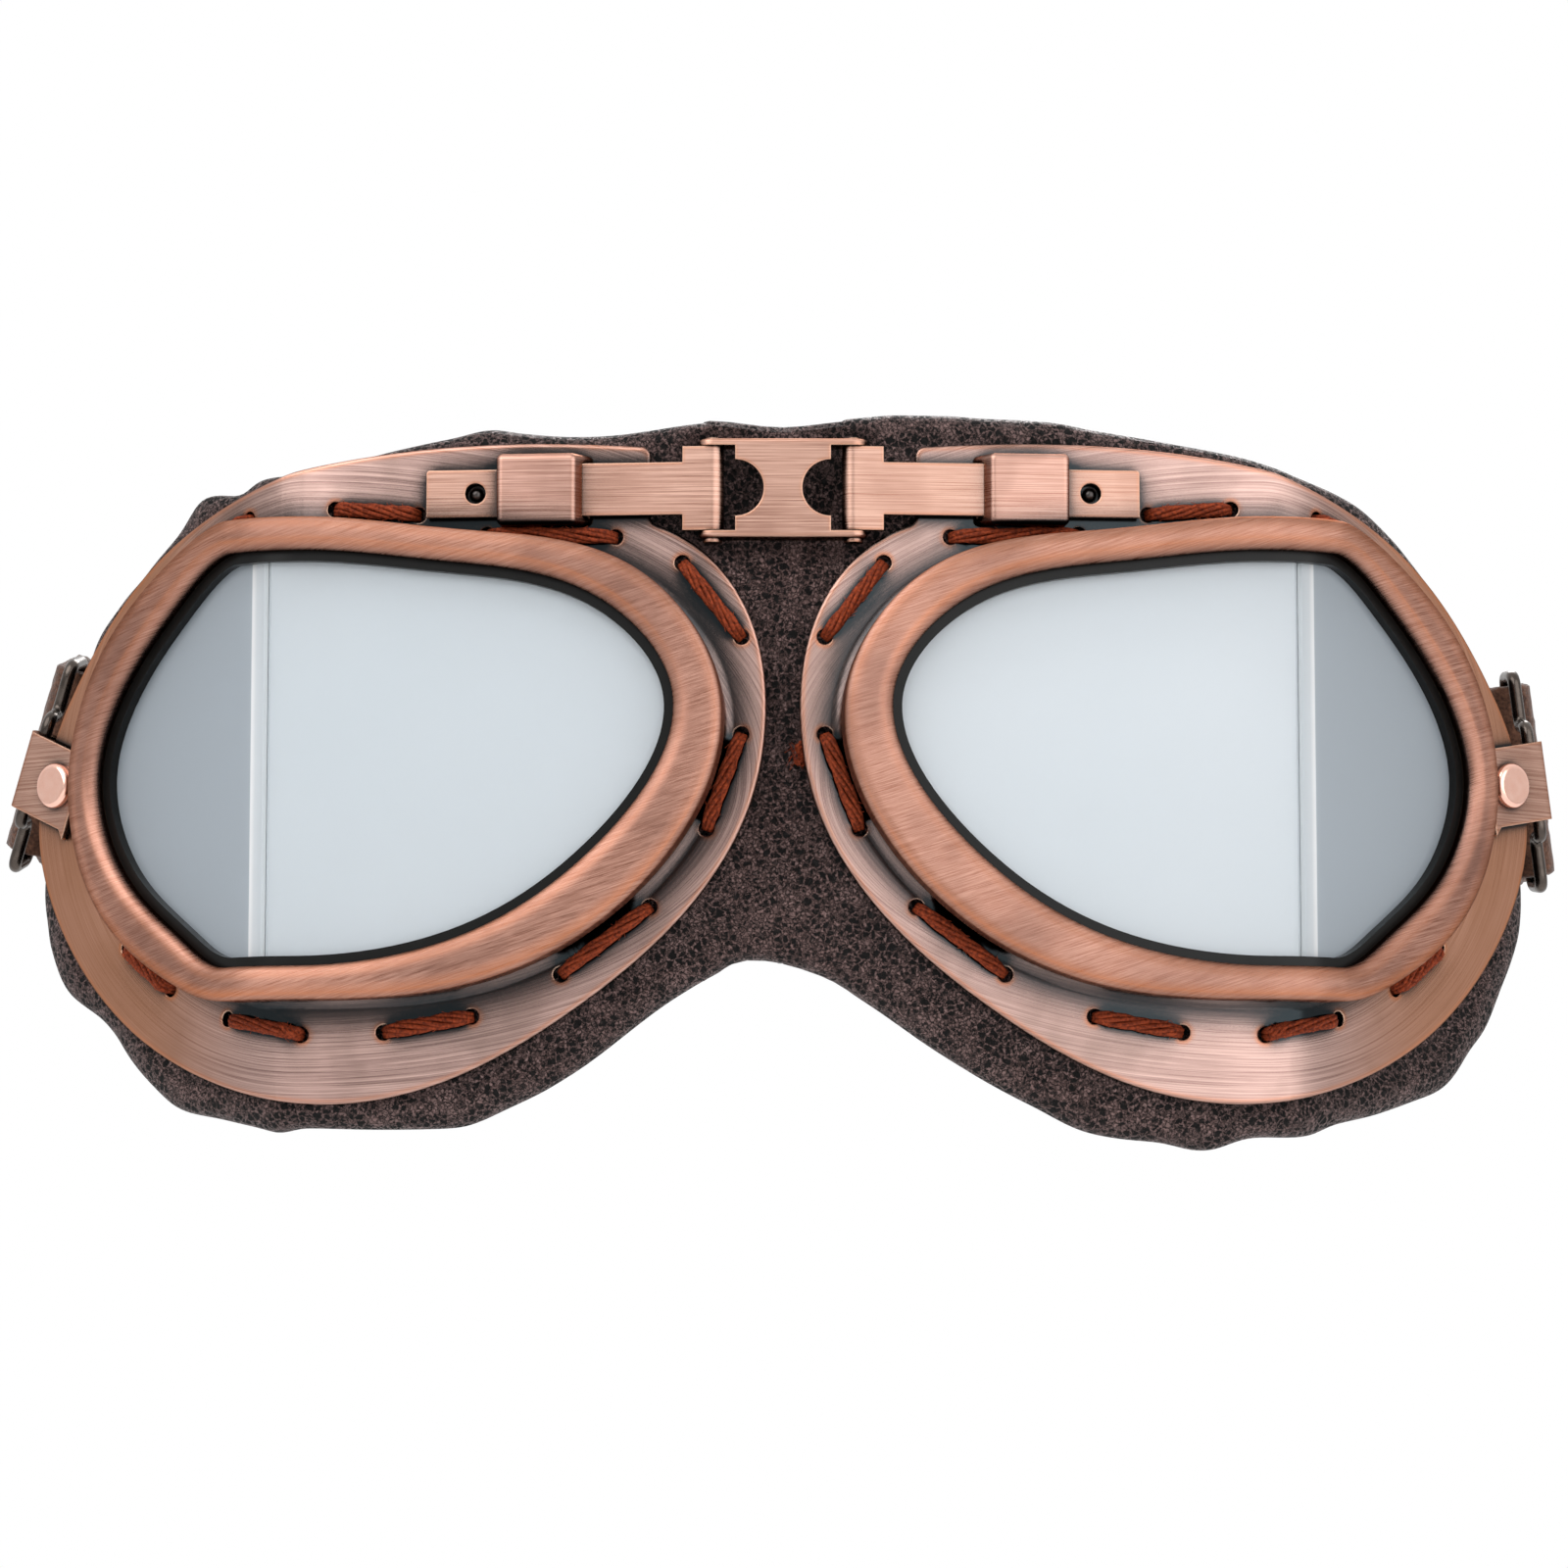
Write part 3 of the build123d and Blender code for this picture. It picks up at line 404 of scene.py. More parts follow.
# Strap rivets
# Solid copper-plated rivets with a domed head, polished by the setting tool, so they mirror
# the studio with a little dullness that wanders.
rivet_shine, rivet_tree, rivet_shader = new_finish("polished_copper_plating", {"Metallic": 1.0})
rivet_dull = mottle(rivet_tree, rivet_shader, 1.2, 4.0, "#f7bfaa", "#fbd0c0")
rivet_rough = add_node(rivet_tree, "MapRange", (rivet_dull, 0.0, 1.0, 0.12, 0.30))
rivet_tree.links.new(rivet_rough, rivet_shader.inputs["Roughness"])
give(rivet_shine, *[side + "_bracket_rivet" for side in sides])

# Strap rings and adjuster
# Bent steel wire and a pressed slide, plated in dark nickel that is bright where it rubs.
gunmetal, gun_tree, gun_shader = new_finish("dark_nickel_plating", {"Metallic": 1.0})
gun_wear = mottle(gun_tree, gun_shader, 1.6, 5.0, "#2b2725", "#6d635c")
gun_rough = add_node(gun_tree, "MapRange", (gun_wear, 0.0, 1.0, 0.16, 0.36))
gun_tree.links.new(gun_rough, gun_shader.inputs["Roughness"])
give(gunmetal, "strap_adjuster", *[side + "_strap_ring" for side in sides])

# Catch balls and springs
# Spring steel blackened in hot salts, an even satin; the ball is a dark bead in its hole.
black_steel, steel_tree, steel_shader = new_finish(
    "blackened_spring_steel", {"Metallic": 1.0, "Roughness": 0.28}
)
mottle(steel_tree, steel_shader, 0.8, 3.0, "#2e2b2b", "#55504e")
give(black_steel, *[side + "_" + node for side in sides for node in ("detent_ball", "detent_spring")])

# Panes
# Toughened glass with a matt film on its back that keeps glare off the wearer, so it looks
# milky and even from the front, with a polished face. The side panes are given darker tones as
# painted shade, for they turn away from the light, and a pale band along their mitre as a
# painted highlight.
pane_edge = max(corner[0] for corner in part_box("left_front_lens"))
mitre_width, mitre_end = 2.1, 0.08
haze_size = 40.0


def glass_finish(name, tones, mitre_highlight_tones=()):
    """Pale glass with a milky back and a polished face, and a pale band along its mitre as a painted highlight,
    if given.
    """
    milky = {"Transmission Weight": 0.45, "Roughness": 0.55, "IOR": 1.5}
    glass, tree, shader = new_finish(name, {**milky, "Coat Weight": 0.6, "Coat Roughness": 0.03})
    place = add_node(tree, "TexCoord", output="Object")
    haze = add_node(tree, "TexNoise", {"Vector": place, "Scale": 1 / (haze_size * MM), "Detail": 1.0})
    low, high = [colour(code) for code in tones]
    tone = add_node(tree, "Mix", {0: haze, 6: low, 7: high}, output=2, data_type="RGBA")
    if mitre_highlight_tones:
        across = add_node(tree, "SeparateXYZ", (place,), output="X")
        aside = add_node(tree, "Math", (across,), operation="ABSOLUTE")
        reach = add_node(tree, "MapRange", (aside, pane_edge, pane_edge + 1.1 * mitre_width * MM))
        ramp = add_node(tree, "ValToRGB", (reach,))
        stops = ramp.node.color_ramp.elements
        for position, code in mitre_highlight_tones:
            stop = stops.new(position)
            stop.color = colour(code)
        stops.remove(stops[0])
        stops.remove(stops[-1])
        mitre_band_end = pane_edge + mitre_width * MM
        past = add_node(tree, "MapRange", (aside, mitre_band_end, mitre_band_end + mitre_end * MM))
        tone = add_node(tree, "Mix", {0: past, 6: ramp, 7: tone}, output=2, data_type="RGBA")
    tree.links.new(tone, shader.inputs["Base Color"])
    return glass


front_glass = glass_finish("front_pane_glass", ("#c6cfd5", "#cfd5da"))
# Stops across the mitre band: a painted highlight on the bevelled edge
mitre_highlight_stops = (
    (0.001, "#dbe0e2"), (0.12, "#d0d7db"), (0.3, "#ccd3d8"),
    (0.65, "#d8dde1"), (0.84, "#f4f5f6"), (0.999, "#e9ecee"),
)
# Side panes: the same glass in darker tones, painted shade for panes turned away from the light
shaded_side_glass = glass_finish("side_pane_glass_painted_shade", ("#a2acb5", "#aab2b9"), mitre_highlight_stops)
give(front_glass, *[side + "_front_lens" for side in sides])
give(shaded_side_glass, *[side + "_side_lens" for side in sides])

# Glazing seals
# Black rubber moulded round the panes, dark all through and glossy where it is wiped.
seal, seal_tree, seal_shader = new_finish(
    "moulded_black_rubber", {"Roughness": 0.3, "Specular IOR Level": 0.22}
)
mottle(seal_tree, seal_shader, 2.0, 4.0, "#050505", "#111110")
give(seal, *[side + "_gasket" for side in sides])


# Places on a cup
# A cup's front plate turns back 5 degrees and its temple side 34 more; heights and reaches are
# measured on these two faces, and depth counts forward from the plate's front.
hinge_spot, hinge_ahead = Vector((8.4, -18.25, 0)), 0.25
fold_reach, fold_depth = 49.5, 5.0


def ahead_of(turn):
    """Directions outward along a face that is turned back, and forward out of it."""
    along = Vector((cos(radians(turn)), sin(radians(turn)), 0))
    return along, Vector((along.y, -along.x, 0))


front_along, front_ahead = ahead_of(cup_turn)
side_along, side_ahead = ahead_of(cup_turn + fold_turn)
front_fold = hinge_spot - front_ahead * hinge_ahead + front_along * fold_reach
side_fold = front_fold - front_ahead * fold_depth + side_ahead * fold_depth
upward = Vector((0, 0, 1))


def on_front(reach, height, depth):
    """Place on the front plate of the left cup."""
    return front_fold + front_along * reach + upward * height + front_ahead * depth


def on_side(reach, height, depth):
    """Place on the temple side of the left cup."""
    return side_fold + side_along * reach + upward * height + side_ahead * depth


def mirrored(spot, side):
    """The same place on the wearer's left or right."""
    return Vector((spot.x if side == "left" else -spot.x, spot.y, spot.z))


# Lacing
# Waxed cord of six plies laid together, sewn through the plate and the leather in nine straight
# stitches a side, with loose fibres along it and one frayed end at the nose of the left cup.
front_stitches = (
    ((-37.8, 28.6), (-22.4, 29.1)),
    ((-45.8, 25.4), (-52.9, 16.4)),
    ((-52.9, 4.7), (-48.8, -6.5)),
    ((-42.0, -15.8), (-31.5, -23.7)),
    ((-20.8, -28.7), (-10.3, -30.5)),
    ((-14.0, 31.6), (-3.9, 32.4)),
)
side_stitches = (((5.4, 32.0), (15.1, 28.6)), ((18.0, -24.5), (25.8, -19.1)))
fold_stitch = ((-0.3, -30.7), (8.2, -28.5))
ply_count, ply_radius = 6, 0.30
cord_half_width, cord_half_height = 0.62, 0.36
cord_lift, cord_tuck = 0.78, 1.6
lay_turns, ply_wander = 0.8, 0.05
stitch_steps = 28
fibre_count, fibre_radius = 26, 0.035
fray_root, fray_plies, fray_steps = Vector((2.1, -16.6, 3.6)), 9, 5
fuzz_root, fuzz_fibres = Vector((1.8, -16.8, 2.6)), 30

thread, thread_tree, thread_shader = new_finish("waxed_cord", {"Roughness": 0.7, "Specular IOR Level": 0.15})
thread_fibres = mottle(thread_tree, thread_shader, 0.35, 3.0, "#47170a", "#984122", contrast=(0.3, 0.7))
thread_bump = add_node(
    thread_tree, "Bump", {"Strength": 0.6, "Distance": 0.08 * MM, "Height": thread_fibres}
)
thread_tree.links.new(thread_bump, thread_shader.inputs["Normal"])


def smooth_step(low, high, value):
    """Share from 0 to 1 between two values, level at both ends."""
    share = min(max((value - low) / (high - low), 0), 1)
    return share * share * (3 - 2 * share)


def stitch_route(start, end, place_start, place_end, bend=None):
    """Middle line of a stitch: out of one hole, over the plate and into the next."""
    top_start = place_start(*start, cord_lift)
    top_end = place_end(*end, cord_lift)
    route = []
    for step in range(stitch_steps + 1):
        share = step / stitch_steps
        spot = top_start.lerp(top_end, share)
        if bend:
            spot = top_start.lerp(bend, 2 * share) if share < 0.5 else bend.lerp(top_end, 2 * share - 1)
        sunk = cord_tuck * (1 - min(1, sin(pi * share) * 3.2)) ** 1.6
        side_share = share if place_start is not place_end else float(place_start is on_side)
        route.append(spot - front_ahead.lerp(side_ahead, side_share).normalized() * sunk)
    return route


def add_strand(cords, spots, radius):
    """One round strand through the places given, in millimetres."""
    line = cords.splines.new("NURBS")
    line.points.add(len(spots) - 1)
    for point, spot in zip(line.points, spots):
        point.co = (*(spot * MM), 1)
        point.radius = radius
    line.order_u = 3
    line.use_endpoint_u = True


def random_way(chance, *ranges):
    """Vector whose three parts are drawn in turn from their ranges."""
    return Vector([chance.uniform(low, high) for low, high in ranges])


for side in sides:
    chance = Random(11 if side == "left" else 12)
    cords = bpy.data.curves.new(side + "_cords", "CURVE")
    cords.dimensions = "3D"
    cords.bevel_depth = MM
    cords.bevel_resolution = 2
    cords.resolution_u = 2
    cords.use_fill_caps = True
    routes = [stitch_route(*pair, on_front, on_front) for pair in front_stitches]
    routes += [stitch_route(*pair, on_side, on_side) for pair in side_stitches]
    corner = (fold_depth + cord_lift) * tan(radians(fold_turn / 2))
    share = (corner - fold_stitch[0][0]) / (fold_stitch[1][0] - fold_stitch[0][0])
    corner_height = fold_stitch[0][1] + share * (fold_stitch[1][1] - fold_stitch[0][1])
    routes.append(stitch_route(*fold_stitch, on_front, on_side, on_front(corner, corner_height, cord_lift)))
    for route in routes:
        middle = route[len(route) // 2]
        ahead = front_ahead if (middle - front_fold).dot(front_along) < 0 else side_ahead
        aside = (route[-1] - route[0]).cross(ahead).normalized()
        phase = chance.uniform(0, 2 * pi)
        swell = chance.uniform(0.92, 1.08)
        for ply in range(ply_count):
            spots = []
            for step, spot in enumerate(route):
                share = step / stitch_steps
                turn = phase + 2 * pi * (ply / ply_count + lay_turns * share)
                tight = (0.72 + 0.28 * min(1, sin(pi * share) * 2.2)) * swell
                wander = ply_wander * sin(9 * share + 5 * ply + phase)
                across = aside * (cord_half_width * cos(turn) * tight + wander)
                lifted = ahead * cord_half_height * sin(turn) * tight
                spots.append(mirrored(spot + across + lifted, side))
            add_strand(cords, spots, ply_radius)
        for _ in range(fibre_count):
            share = chance.uniform(0.12, 0.88)
            base = route[round(share * stitch_steps)]
            turn = chance.uniform(-0.4, pi + 0.4)
            out = aside * cos(turn) + ahead * abs(sin(turn))
            along = (route[-1] - route[0]).normalized() * chance.uniform(-0.9, 0.9)
            root = base + out * 0.75
            length = chance.uniform(0.4, 1.3)
            spots = [root - along * 0.4, root + out * 0.12 * length, root + (out * 0.35 + along * 0.7) * length]
            add_strand(cords, [mirrored(spot, side) for spot in spots], fibre_radius)
    if side == "left":
        # Frayed end that comes up between the plate's nose edge and the leather
        for _ in range(fray_plies):
            spots = [fray_root + random_way(chance, *[(-0.5, 0.5)] * 3)]
            for _ in range(fray_steps):
                spots.append(spots[-1] + random_way(chance, (-0.8, 0.8), (-0.35, 0.2), (-1.3, 0.5)))
            add_strand(cords, spots, ply_radius * 0.8)
        for _ in range(fuzz_fibres):
            root = fuzz_root + random_way(chance, *[(-0.8, 0.8)] * 3)
            tip = random_way(chance, (-1.2, 1.2), (-0.8, 0), (-1.4, 1.2))
            add_strand(cords, [root, root + tip * 0.5, root + tip], fibre_radius)
    holder = bpy.data.objects.new(side + "_cords", cords)
    bpy.context.scene.collection.objects.link(holder)
    bpy.context.view_layer.update()
    mesh = bpy.data.meshes.new_from_object(holder.evaluated_get(bpy.context.evaluated_depsgraph_get()))
    mesh.materials.clear()
    bpy.data.objects.remove(holder)
    lacing = piece_from(mesh, side + "_cord_lacing", thread, side + "_cup")
    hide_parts(side + "_lacing")

# Leather mask
# One dark brown skin over soft foam, embossed with a pebble grain by a hot plate and pulled to
# the plates by the lacing. It bulges past their edges in uneven folds, and its surface runs on
# without a break across the nose.
pebble, crease = 1.0, 0.5
pebble_drift, drift_size = 1.5, 0.7
wear_size, cloud_size, grain_depth = 2.6, 9.0, 0.3
mask_depth, mask_inset = 1.3, 3.2
nose_dip = 1.9
fold_softness = 1.8
lump_scale = 0.09
ring_points = 420
mask_centre = (-12.0, 1.0)
smoothings = 3
full_ring = 8.0
rivet_place = (34.1, 1.6)
opening_points = (
    (-0.8, 27.9), (-19.0, 26.2), (-36.5, 21.6), (-44.5, 13.0), (-48.8, 4.0), (-46.0, -8.0),
    (-38.0, -16.5), (-20.0, -23.6), (0.6, -24.6), (8.5, -22.2), (16.5, -14.0), (20.6, -4.0),
    (21.5, 3.0), (19.5, 11.0), (14.0, 19.5), (7.0, 25.4),
)
mask_outlines = {
    "left": (
        (-51.5, 43.2), (-48.0, 43.4), (-45.6, 43.8), (-38.5, 43.9), (-33.7, 43.6), (-28.9, 43.5),
        (-24.2, 43.1), (-19.4, 42.3), (-12.0, 41.2), (-2.0, 39.3), (6.0, 37.4), (14.0, 35.0),
        (21.0, 29.4), (27.0, 22.8), (32.0, 14.0), (35.6, 3.0), (37.3, -6.0), (37.6, -14.0),
        (36.4, -18.4), (34.2, -23.4), (31.8, -28.4), (29.4, -31.2), (27.4, -34.0), (25.0, -36.3),
        (21.0, -37.8), (15.3, -39.7), (9.7, -41.0), (6.9, -42.2), (4.2, -42.7), (-1.1, -42.8),
        (-3.4, -43.3), (-5.8, -44.2), (-8.2, -44.4), (-10.5, -43.9), (-12.9, -43.4), (-17.6, -43.0),
        (-22.3, -42.0), (-27.0, -39.6), (-31.7, -37.2), (-36.4, -34.5), (-41.1, -31.5), (-45.8, -28.2),
        (-50.3, -25.2), (-51.5, -23.6), (-51.5, -20.0), (-51.5, -8.0), (-51.5, 8.0), (-51.5, 24.0),
        (-51.5, 36.0), (-51.5, 41.0),
    ),
    "right": (
        (-51.5, 43.0), (-46.0, 42.6), (-38.0, 41.6), (-31.6, 41.4), (-26.8, 41.8), (-22.0, 42.4),
        (-17.2, 41.3), (-12.0, 40.3), (-7.0, 39.2), (-2.9, 38.5), (0.1, 37.6), (2.1, 37.4), (4.9, 37.5),
        (7.0, 37.2), (8.6, 36.1), (9.9, 35.7), (11.8, 36.2), (14.0, 36.3), (15.6, 35.6), (16.7, 34.0),
        (18.2, 32.0), (21.0, 29.4), (23.4, 27.1), (26.9, 23.8), (30.1, 19.6), (32.8, 12.0), (35.4, 3.0),
        (37.0, -5.0), (37.7, -11.0), (37.0, -16.0), (35.6, -20.7), (33.7, -23.9), (30.8, -26.0),
        (28.6, -27.4), (26.5, -29.6), (24.6, -32.2), (21.4, -35.6), (17.1, -38.9), (11.1, -40.3),
        (5.5, -41.6), (2.7, -42.3), (0.4, -41.7), (-8.4, -41.9), (-16.8, -41.8), (-20.2, -41.4),
        (-24.9, -39.4), (-29.6, -37.1), (-34.3, -34.1), (-39.0, -30.5), (-43.6, -27.1), (-48.3, -24.2),
        (-50.6, -23.0), (-51.5, -21.6), (-51.5, -18.0), (-51.5, -8.0), (-51.5, 8.0), (-51.5, 24.0),
        (-51.5, 36.0), (-51.5, 41.0),
    ),
}

leather, hide, leather_shader = new_finish("pebbled_leather", {"Specular IOR Level": 0.24})
hide_place = add_node(hide, "TexCoord", output="Object")
hide_drift = add_node(
    hide,
    "TexNoise",
    {"Vector": hide_place, "Scale": 1 / (drift_size * MM), "Detail": 5.0, "Roughness": 0.7},
    output="Color",
)
hide_shift = add_node(hide, "VectorMath", (hide_drift, (pebble_drift * MM,) * 3), operation="MULTIPLY")
hide_warped = add_node(hide, "VectorMath", (hide_place, hide_shift), operation="ADD")
pebble_edge, crease_edge = [
    add_node(
        hide,
        "TexVoronoi",
        {"Vector": hide_warped, "Scale": 1 / (size * MM)},
        output="Distance",
        feature="DISTANCE_TO_EDGE",
    )
    for size in (pebble, crease)
]
hide_wear, hide_cloud = [
    add_node(hide, "TexNoise", {"Vector": hide_place, "Scale": 1 / (size * MM), "Detail": detail})
    for size, detail in ((wear_size, 3.0), (cloud_size, 2.0))
]
pit_depth, pit_share, creases = [
    add_node(hide, "MapRange", sockets, interpolation_type="SMOOTHSTEP")
    for sockets in (
        (hide_wear, 0.36, 0.58, 0.30, 1.0),
        (pebble_edge, 0.03, 0.24),
        (crease_edge, 0.16, 0.0, 0.0, 0.7),
    )
]
pits = add_node(hide, "Math", (pit_share, pit_depth), operation="MULTIPLY")
pitted = add_node(hide, "Math", (1.0, pits), operation="SUBTRACT")
hide_height = add_node(hide, "Math", (pitted, creases), operation="SUBTRACT")
ridge_tone = add_node(
    hide, "Mix", {0: hide_cloud, 6: colour("#614a47"), 7: colour("#7c6562")}, output=2, data_type="RGBA"
)
ridge_share, hide_matt = [
    add_node(hide, "MapRange", (hide_height, *limits), interpolation_type="SMOOTHSTEP")
    for limits in ((0.1, 0.95), (0.0, 1.0, 0.75, 0.36))
]
# Pits and creases coloured near black by their depth: painted shade in the grain's hollows
hide_tone_with_pit_shade = add_node(
    hide, "Mix", {0: ridge_share, 6: colour("#060303"), 7: ridge_tone}, output=2, data_type="RGBA"
)
hide_bump = add_node(hide, "Bump", {"Strength": 1.0, "Distance": grain_depth * MM, "Height": hide_height})
for socket, result in (("Base Color", hide_tone_with_pit_shade), ("Roughness", hide_matt), ("Normal", hide_bump)):
    hide.links.new(result, leather_shader.inputs[socket])


def skin_depth(reach, height, depth):
    """Depth of a layer of the leather, seen square to the front plate, from the nose to the temple."""
    meet = (fold_depth - depth) * tan(radians(fold_turn / 2))
    past = fold_softness * log(1 + exp(min((reach - meet) / fold_softness, 40)))
    aside = on_front(reach, 0, 0).x
    dip = nose_dip - 1.5 * smooth_step(-6, -17, height) - 0.5 * smooth_step(14, 26, height)
    return -depth - past * tan(radians(fold_turn)) - dip * (1 - smooth_step(1.0, 9.5, aside))


def skin_place(reach, height, sink, side, lumps=1.0):
    """Place on the leather, sunk below its face, with its slow lumps and its hollows for metal."""
    aside = on_front(reach, 0, 0).x
    spot = Vector((aside if side == "left" else -aside, height, 33.0)) * lump_scale
    near_ring = smooth_step(31, 34, reach) * (1 - smooth_step(16, 20, abs(height - rivet_place[1])))
    lump = lumps * (1 - 0.8 * near_ring) * (0.55 * noise.noise(spot * 1.1) + 0.3 * noise.noise(spot * 2.8))
    under_link = (
        1.4
        * smooth_step(2, 6, aside)
        * (1 - smooth_step(10.0, 12.5, aside))
        * smooth_step(26.0, 28.5, height)
        * (1 - smooth_step(40.2, 42.0, height))
    )
    from_rivet = hypot(reach - rivet_place[0], height - rivet_place[1])
    near_rivet = 2.4 * (1 - smooth_step(6.0, 9.0, from_rivet))
    along_spring = smooth_step(-38, -35, reach) * (1 - smooth_step(-18, -15, reach))
    near_spring = 0.8 * along_spring * smooth_step(29, 31.5, height) * (1 - smooth_step(36.5, 38.5, height))
    hollow = (under_link + near_rivet + near_spring + 0.8 * near_ring) * (1 - smooth_step(2.0, 4.5, sink))
    depth = skin_depth(reach, height, mask_depth + sink) + lump - hollow
    return mirrored(on_front(reach, height, depth), side)


def even_angles(points, centre, count):
    """Places on a closed smooth line through points, at even angles round a centre."""
    total = len(points)
    polar = []
    for index in range(total):
        before, here, after, beyond = [Vector(points[(index + shift) % total]) for shift in (-1, 0, 1, 2)]
        for step in range(12):
            share = step / 12
            spot = 0.5 * (
                2 * here
                + (after - before) * share
                + (2 * before - 5 * here + 4 * after - beyond) * share**2
                + (3 * here - before - 3 * after + beyond) * share**3
            )
            across, up = spot.x - centre[0], spot.y - centre[1]
            polar.append((atan2(up, across) % (2 * pi), hypot(across, up)))
    polar.sort()
    polar = [(polar[-1][0] - 2 * pi, polar[-1][1])] + polar + [(polar[0][0] + 2 * pi, polar[0][1])]
    places = []
    index = 0
    for step in range(count):
        angle = 2 * pi * step / count
        while polar[index + 1][0] < angle:
            index += 1
        (low, near), (high, far) = polar[index], polar[index + 1]
        reach = near + (far - near) * (angle - low) / max(high - low, 1e-9)
        places.append(Vector((centre[0] + reach * cos(angle), centre[1] + reach * sin(angle))))
    for _ in range(smoothings):
        places = [
            (places[index - 1] + 2 * spot + places[(index + 1) % count]) / 4
            for index, spot in enumerate(places)
        ]
    return places


def shaped_grid(name, columns, rows, place, capped=False):
    """Mesh of a grid whose corners are set by column and row, joined where they meet."""
    shape = bmesh.new()
    bmesh.ops.create_grid(shape, x_segments=columns, y_segments=rows, size=1)
    for vert in shape.verts:
        vert.co = place(round((vert.co.x + 1) / 2 * columns), round((vert.co.y + 1) / 2 * rows)) * MM
    bmesh.ops.remove_doubles(shape, verts=shape.verts, dist=0.002 * MM)
    if capped:
        bmesh.ops.holes_fill(shape, edges=shape.edges, sides=0)
    bmesh.ops.recalc_face_normals(shape, faces=shape.faces)
    mesh = bpy.data.meshes.new(name)
    shape.to_mesh(mesh)
    shape.free()
    return mesh


def across_ring(inner, outer, share, past, inset):
    """Place between two lines: a share of the way to an inset edge, or a reach past the outer one."""
    way = outer - inner
    snug = min(1, way.length / full_ring)
    if share < 1:
        return inner + way * share * (1 - inset * snug / way.length) + way.normalized() * past
    return outer + way.normalized() * past * snug


# Stations round the mask's section: share from opening to inset edge, reach past the outline, sink
mask_stations = [(0.0, 0.0, 4.7), (0.0, 0.0, 3.2), (0.0, 0.0, 1.6), (0.0, 0.0, 0.7), (0.015, 0.0, 0.2)]
mask_stations += [(0.05 + 0.072 * step, 0.0, 0.05) for step in range(12)]
mask_stations += [
    (0.91, 0.0, 0.0), (0.97, 0.0, -0.12), (1.0, -2.6, -0.33), (1.0, -1.9, -0.2), (1.0, -1.2, 0.1),
    (1.0, -0.65, 0.5), (1.0, -0.25, 1.1), (1.0, 0.0, 2.0), (1.0, -0.05, 2.9), (1.0, -0.4, 3.8),
    (1.0, -1.1, 4.5), (1.0, -2.2, 4.9), (0.85, 0.0, 5.0), (0.6, 0.0, 5.0), (0.35, 0.0, 5.0),
    (0.12, 0.0, 5.0), (0.0, 0.0, 4.7),
]
rings = {
    side: [even_angles(points, mask_centre, ring_points) for points in (opening_points, outline)]
    for side, outline in mask_outlines.items()
}

for side in sides:
    opening, outline = rings[side]

    def on_mask(column, row):
        share, past, sink = mask_stations[row]
        column %= ring_points
        spot = across_ring(opening[column], outline[column], share, past, mask_inset)
        aside = on_front(spot.x, 0, 0).x
        sink = sink if sink > 0 else sink * smooth_step(8, 14, aside)
        sink += 0.3 * (1 - smooth_step(6.4, 7.6, aside))
        lumps = smooth_step(0.88, 1.0, share) * smooth_step(9, 15, aside)
        return skin_place(spot.x, spot.y, sink, side, lumps)

    mask = piece_from(
        shaped_grid(side + "_leather_mask", ring_points, len(mask_stations) - 1, on_mask),
        side + "_leather_mask",
        leather,
        side + "_cup",
    )
    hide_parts(side + "_mask")

# Leather across the nose
# The same skin between the cups, creased down the middle and arched over the nose. Its halves
# meet on the bridge, and their edges run under the masks.
nose_reach = 9.8
nose_columns = 28
nose_lip = 0.05
nose_top = ((0.0, 42.4), (3.0, 42.6), (7.0, 43.0), (12.0, 43.2))
nose_arch = {
    "left": (
        (0.0, -22.3), (2.4, -22.95), (4.8, -23.8), (6.4, -24.55), (7.6, -25.3), (9.2, -26.3), (9.8, -26.7),
    ),
    "right": (
        (0.0, -22.3), (1.2, -22.2), (2.4, -22.0), (4.6, -21.95), (6.4, -22.4), (8.4, -23.6),
        (9.2, -24.05), (9.8, -24.35),
    ),
}

# Stations round the section: share of the height, rise above that, sink
nose_stations = [(0.0, 0.0, 2.0), (0.0, 0.25, 1.1), (0.0, 0.65, 0.5), (0.0, 1.2, 0.12), (0.0, 2.2, 0.0)]
nose_stations += [(0.07 + 0.044 * step, 0.0, 0.0) for step in range(20)]
nose_stations += [
    (1.0, -2.0, 0.0), (1.0, -0.9, 0.25), (1.0, -0.25, 0.9), (1.0, 0.0, 1.9), (1.0, -0.3, 2.9),
    (1.0, -1.4, 3.4), (0.75, 0.0, 3.5), (0.5, 0.0, 3.5), (0.25, 0.0, 3.5), (0.0, 1.4, 3.4),
    (0.0, 0.3, 2.9), (0.0, 0.0, 2.0),
]


def along_line(points, reach):
    """Height of a line through points at a reach from the nose."""
    for (start, low), (end, high) in zip(points, points[1:]):
        if reach <= end:
            return low + (high - low) * (reach - start) / (end - start)
    return points[-1][1]


for side in sides:

    def on_nose(column, row):
        share, rise, sink = nose_stations[row]
        aside = nose_reach * column / nose_columns
        low, high = along_line(nose_arch[side], aside), along_line(nose_top, aside)
        height = low + (high - low) * share
        sink += 0.9 * smooth_step(9.1, nose_reach, aside) - nose_lip
        if sink < 1:
            sink += 0.15 * exp(-((aside / 0.9) ** 2)) * (1 - smooth_step(12, 24, height))
        reach = (aside - front_fold.x) / front_along.x
        spot = skin_place(reach, height + rise, sink, side, 0.25 * (1 - smooth_step(3, 7, aside)))
        if column == 0:
            spot.x = 0
        return spot

    nose = piece_from(
        shaped_grid(side + "_nose_leather", nose_columns, len(nose_stations) - 1, on_nose, capped=True),
        side + "_nose_leather",
        leather,
        None,
        sharp_past=60,
    )
    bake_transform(nose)
    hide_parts("nose_bridge")

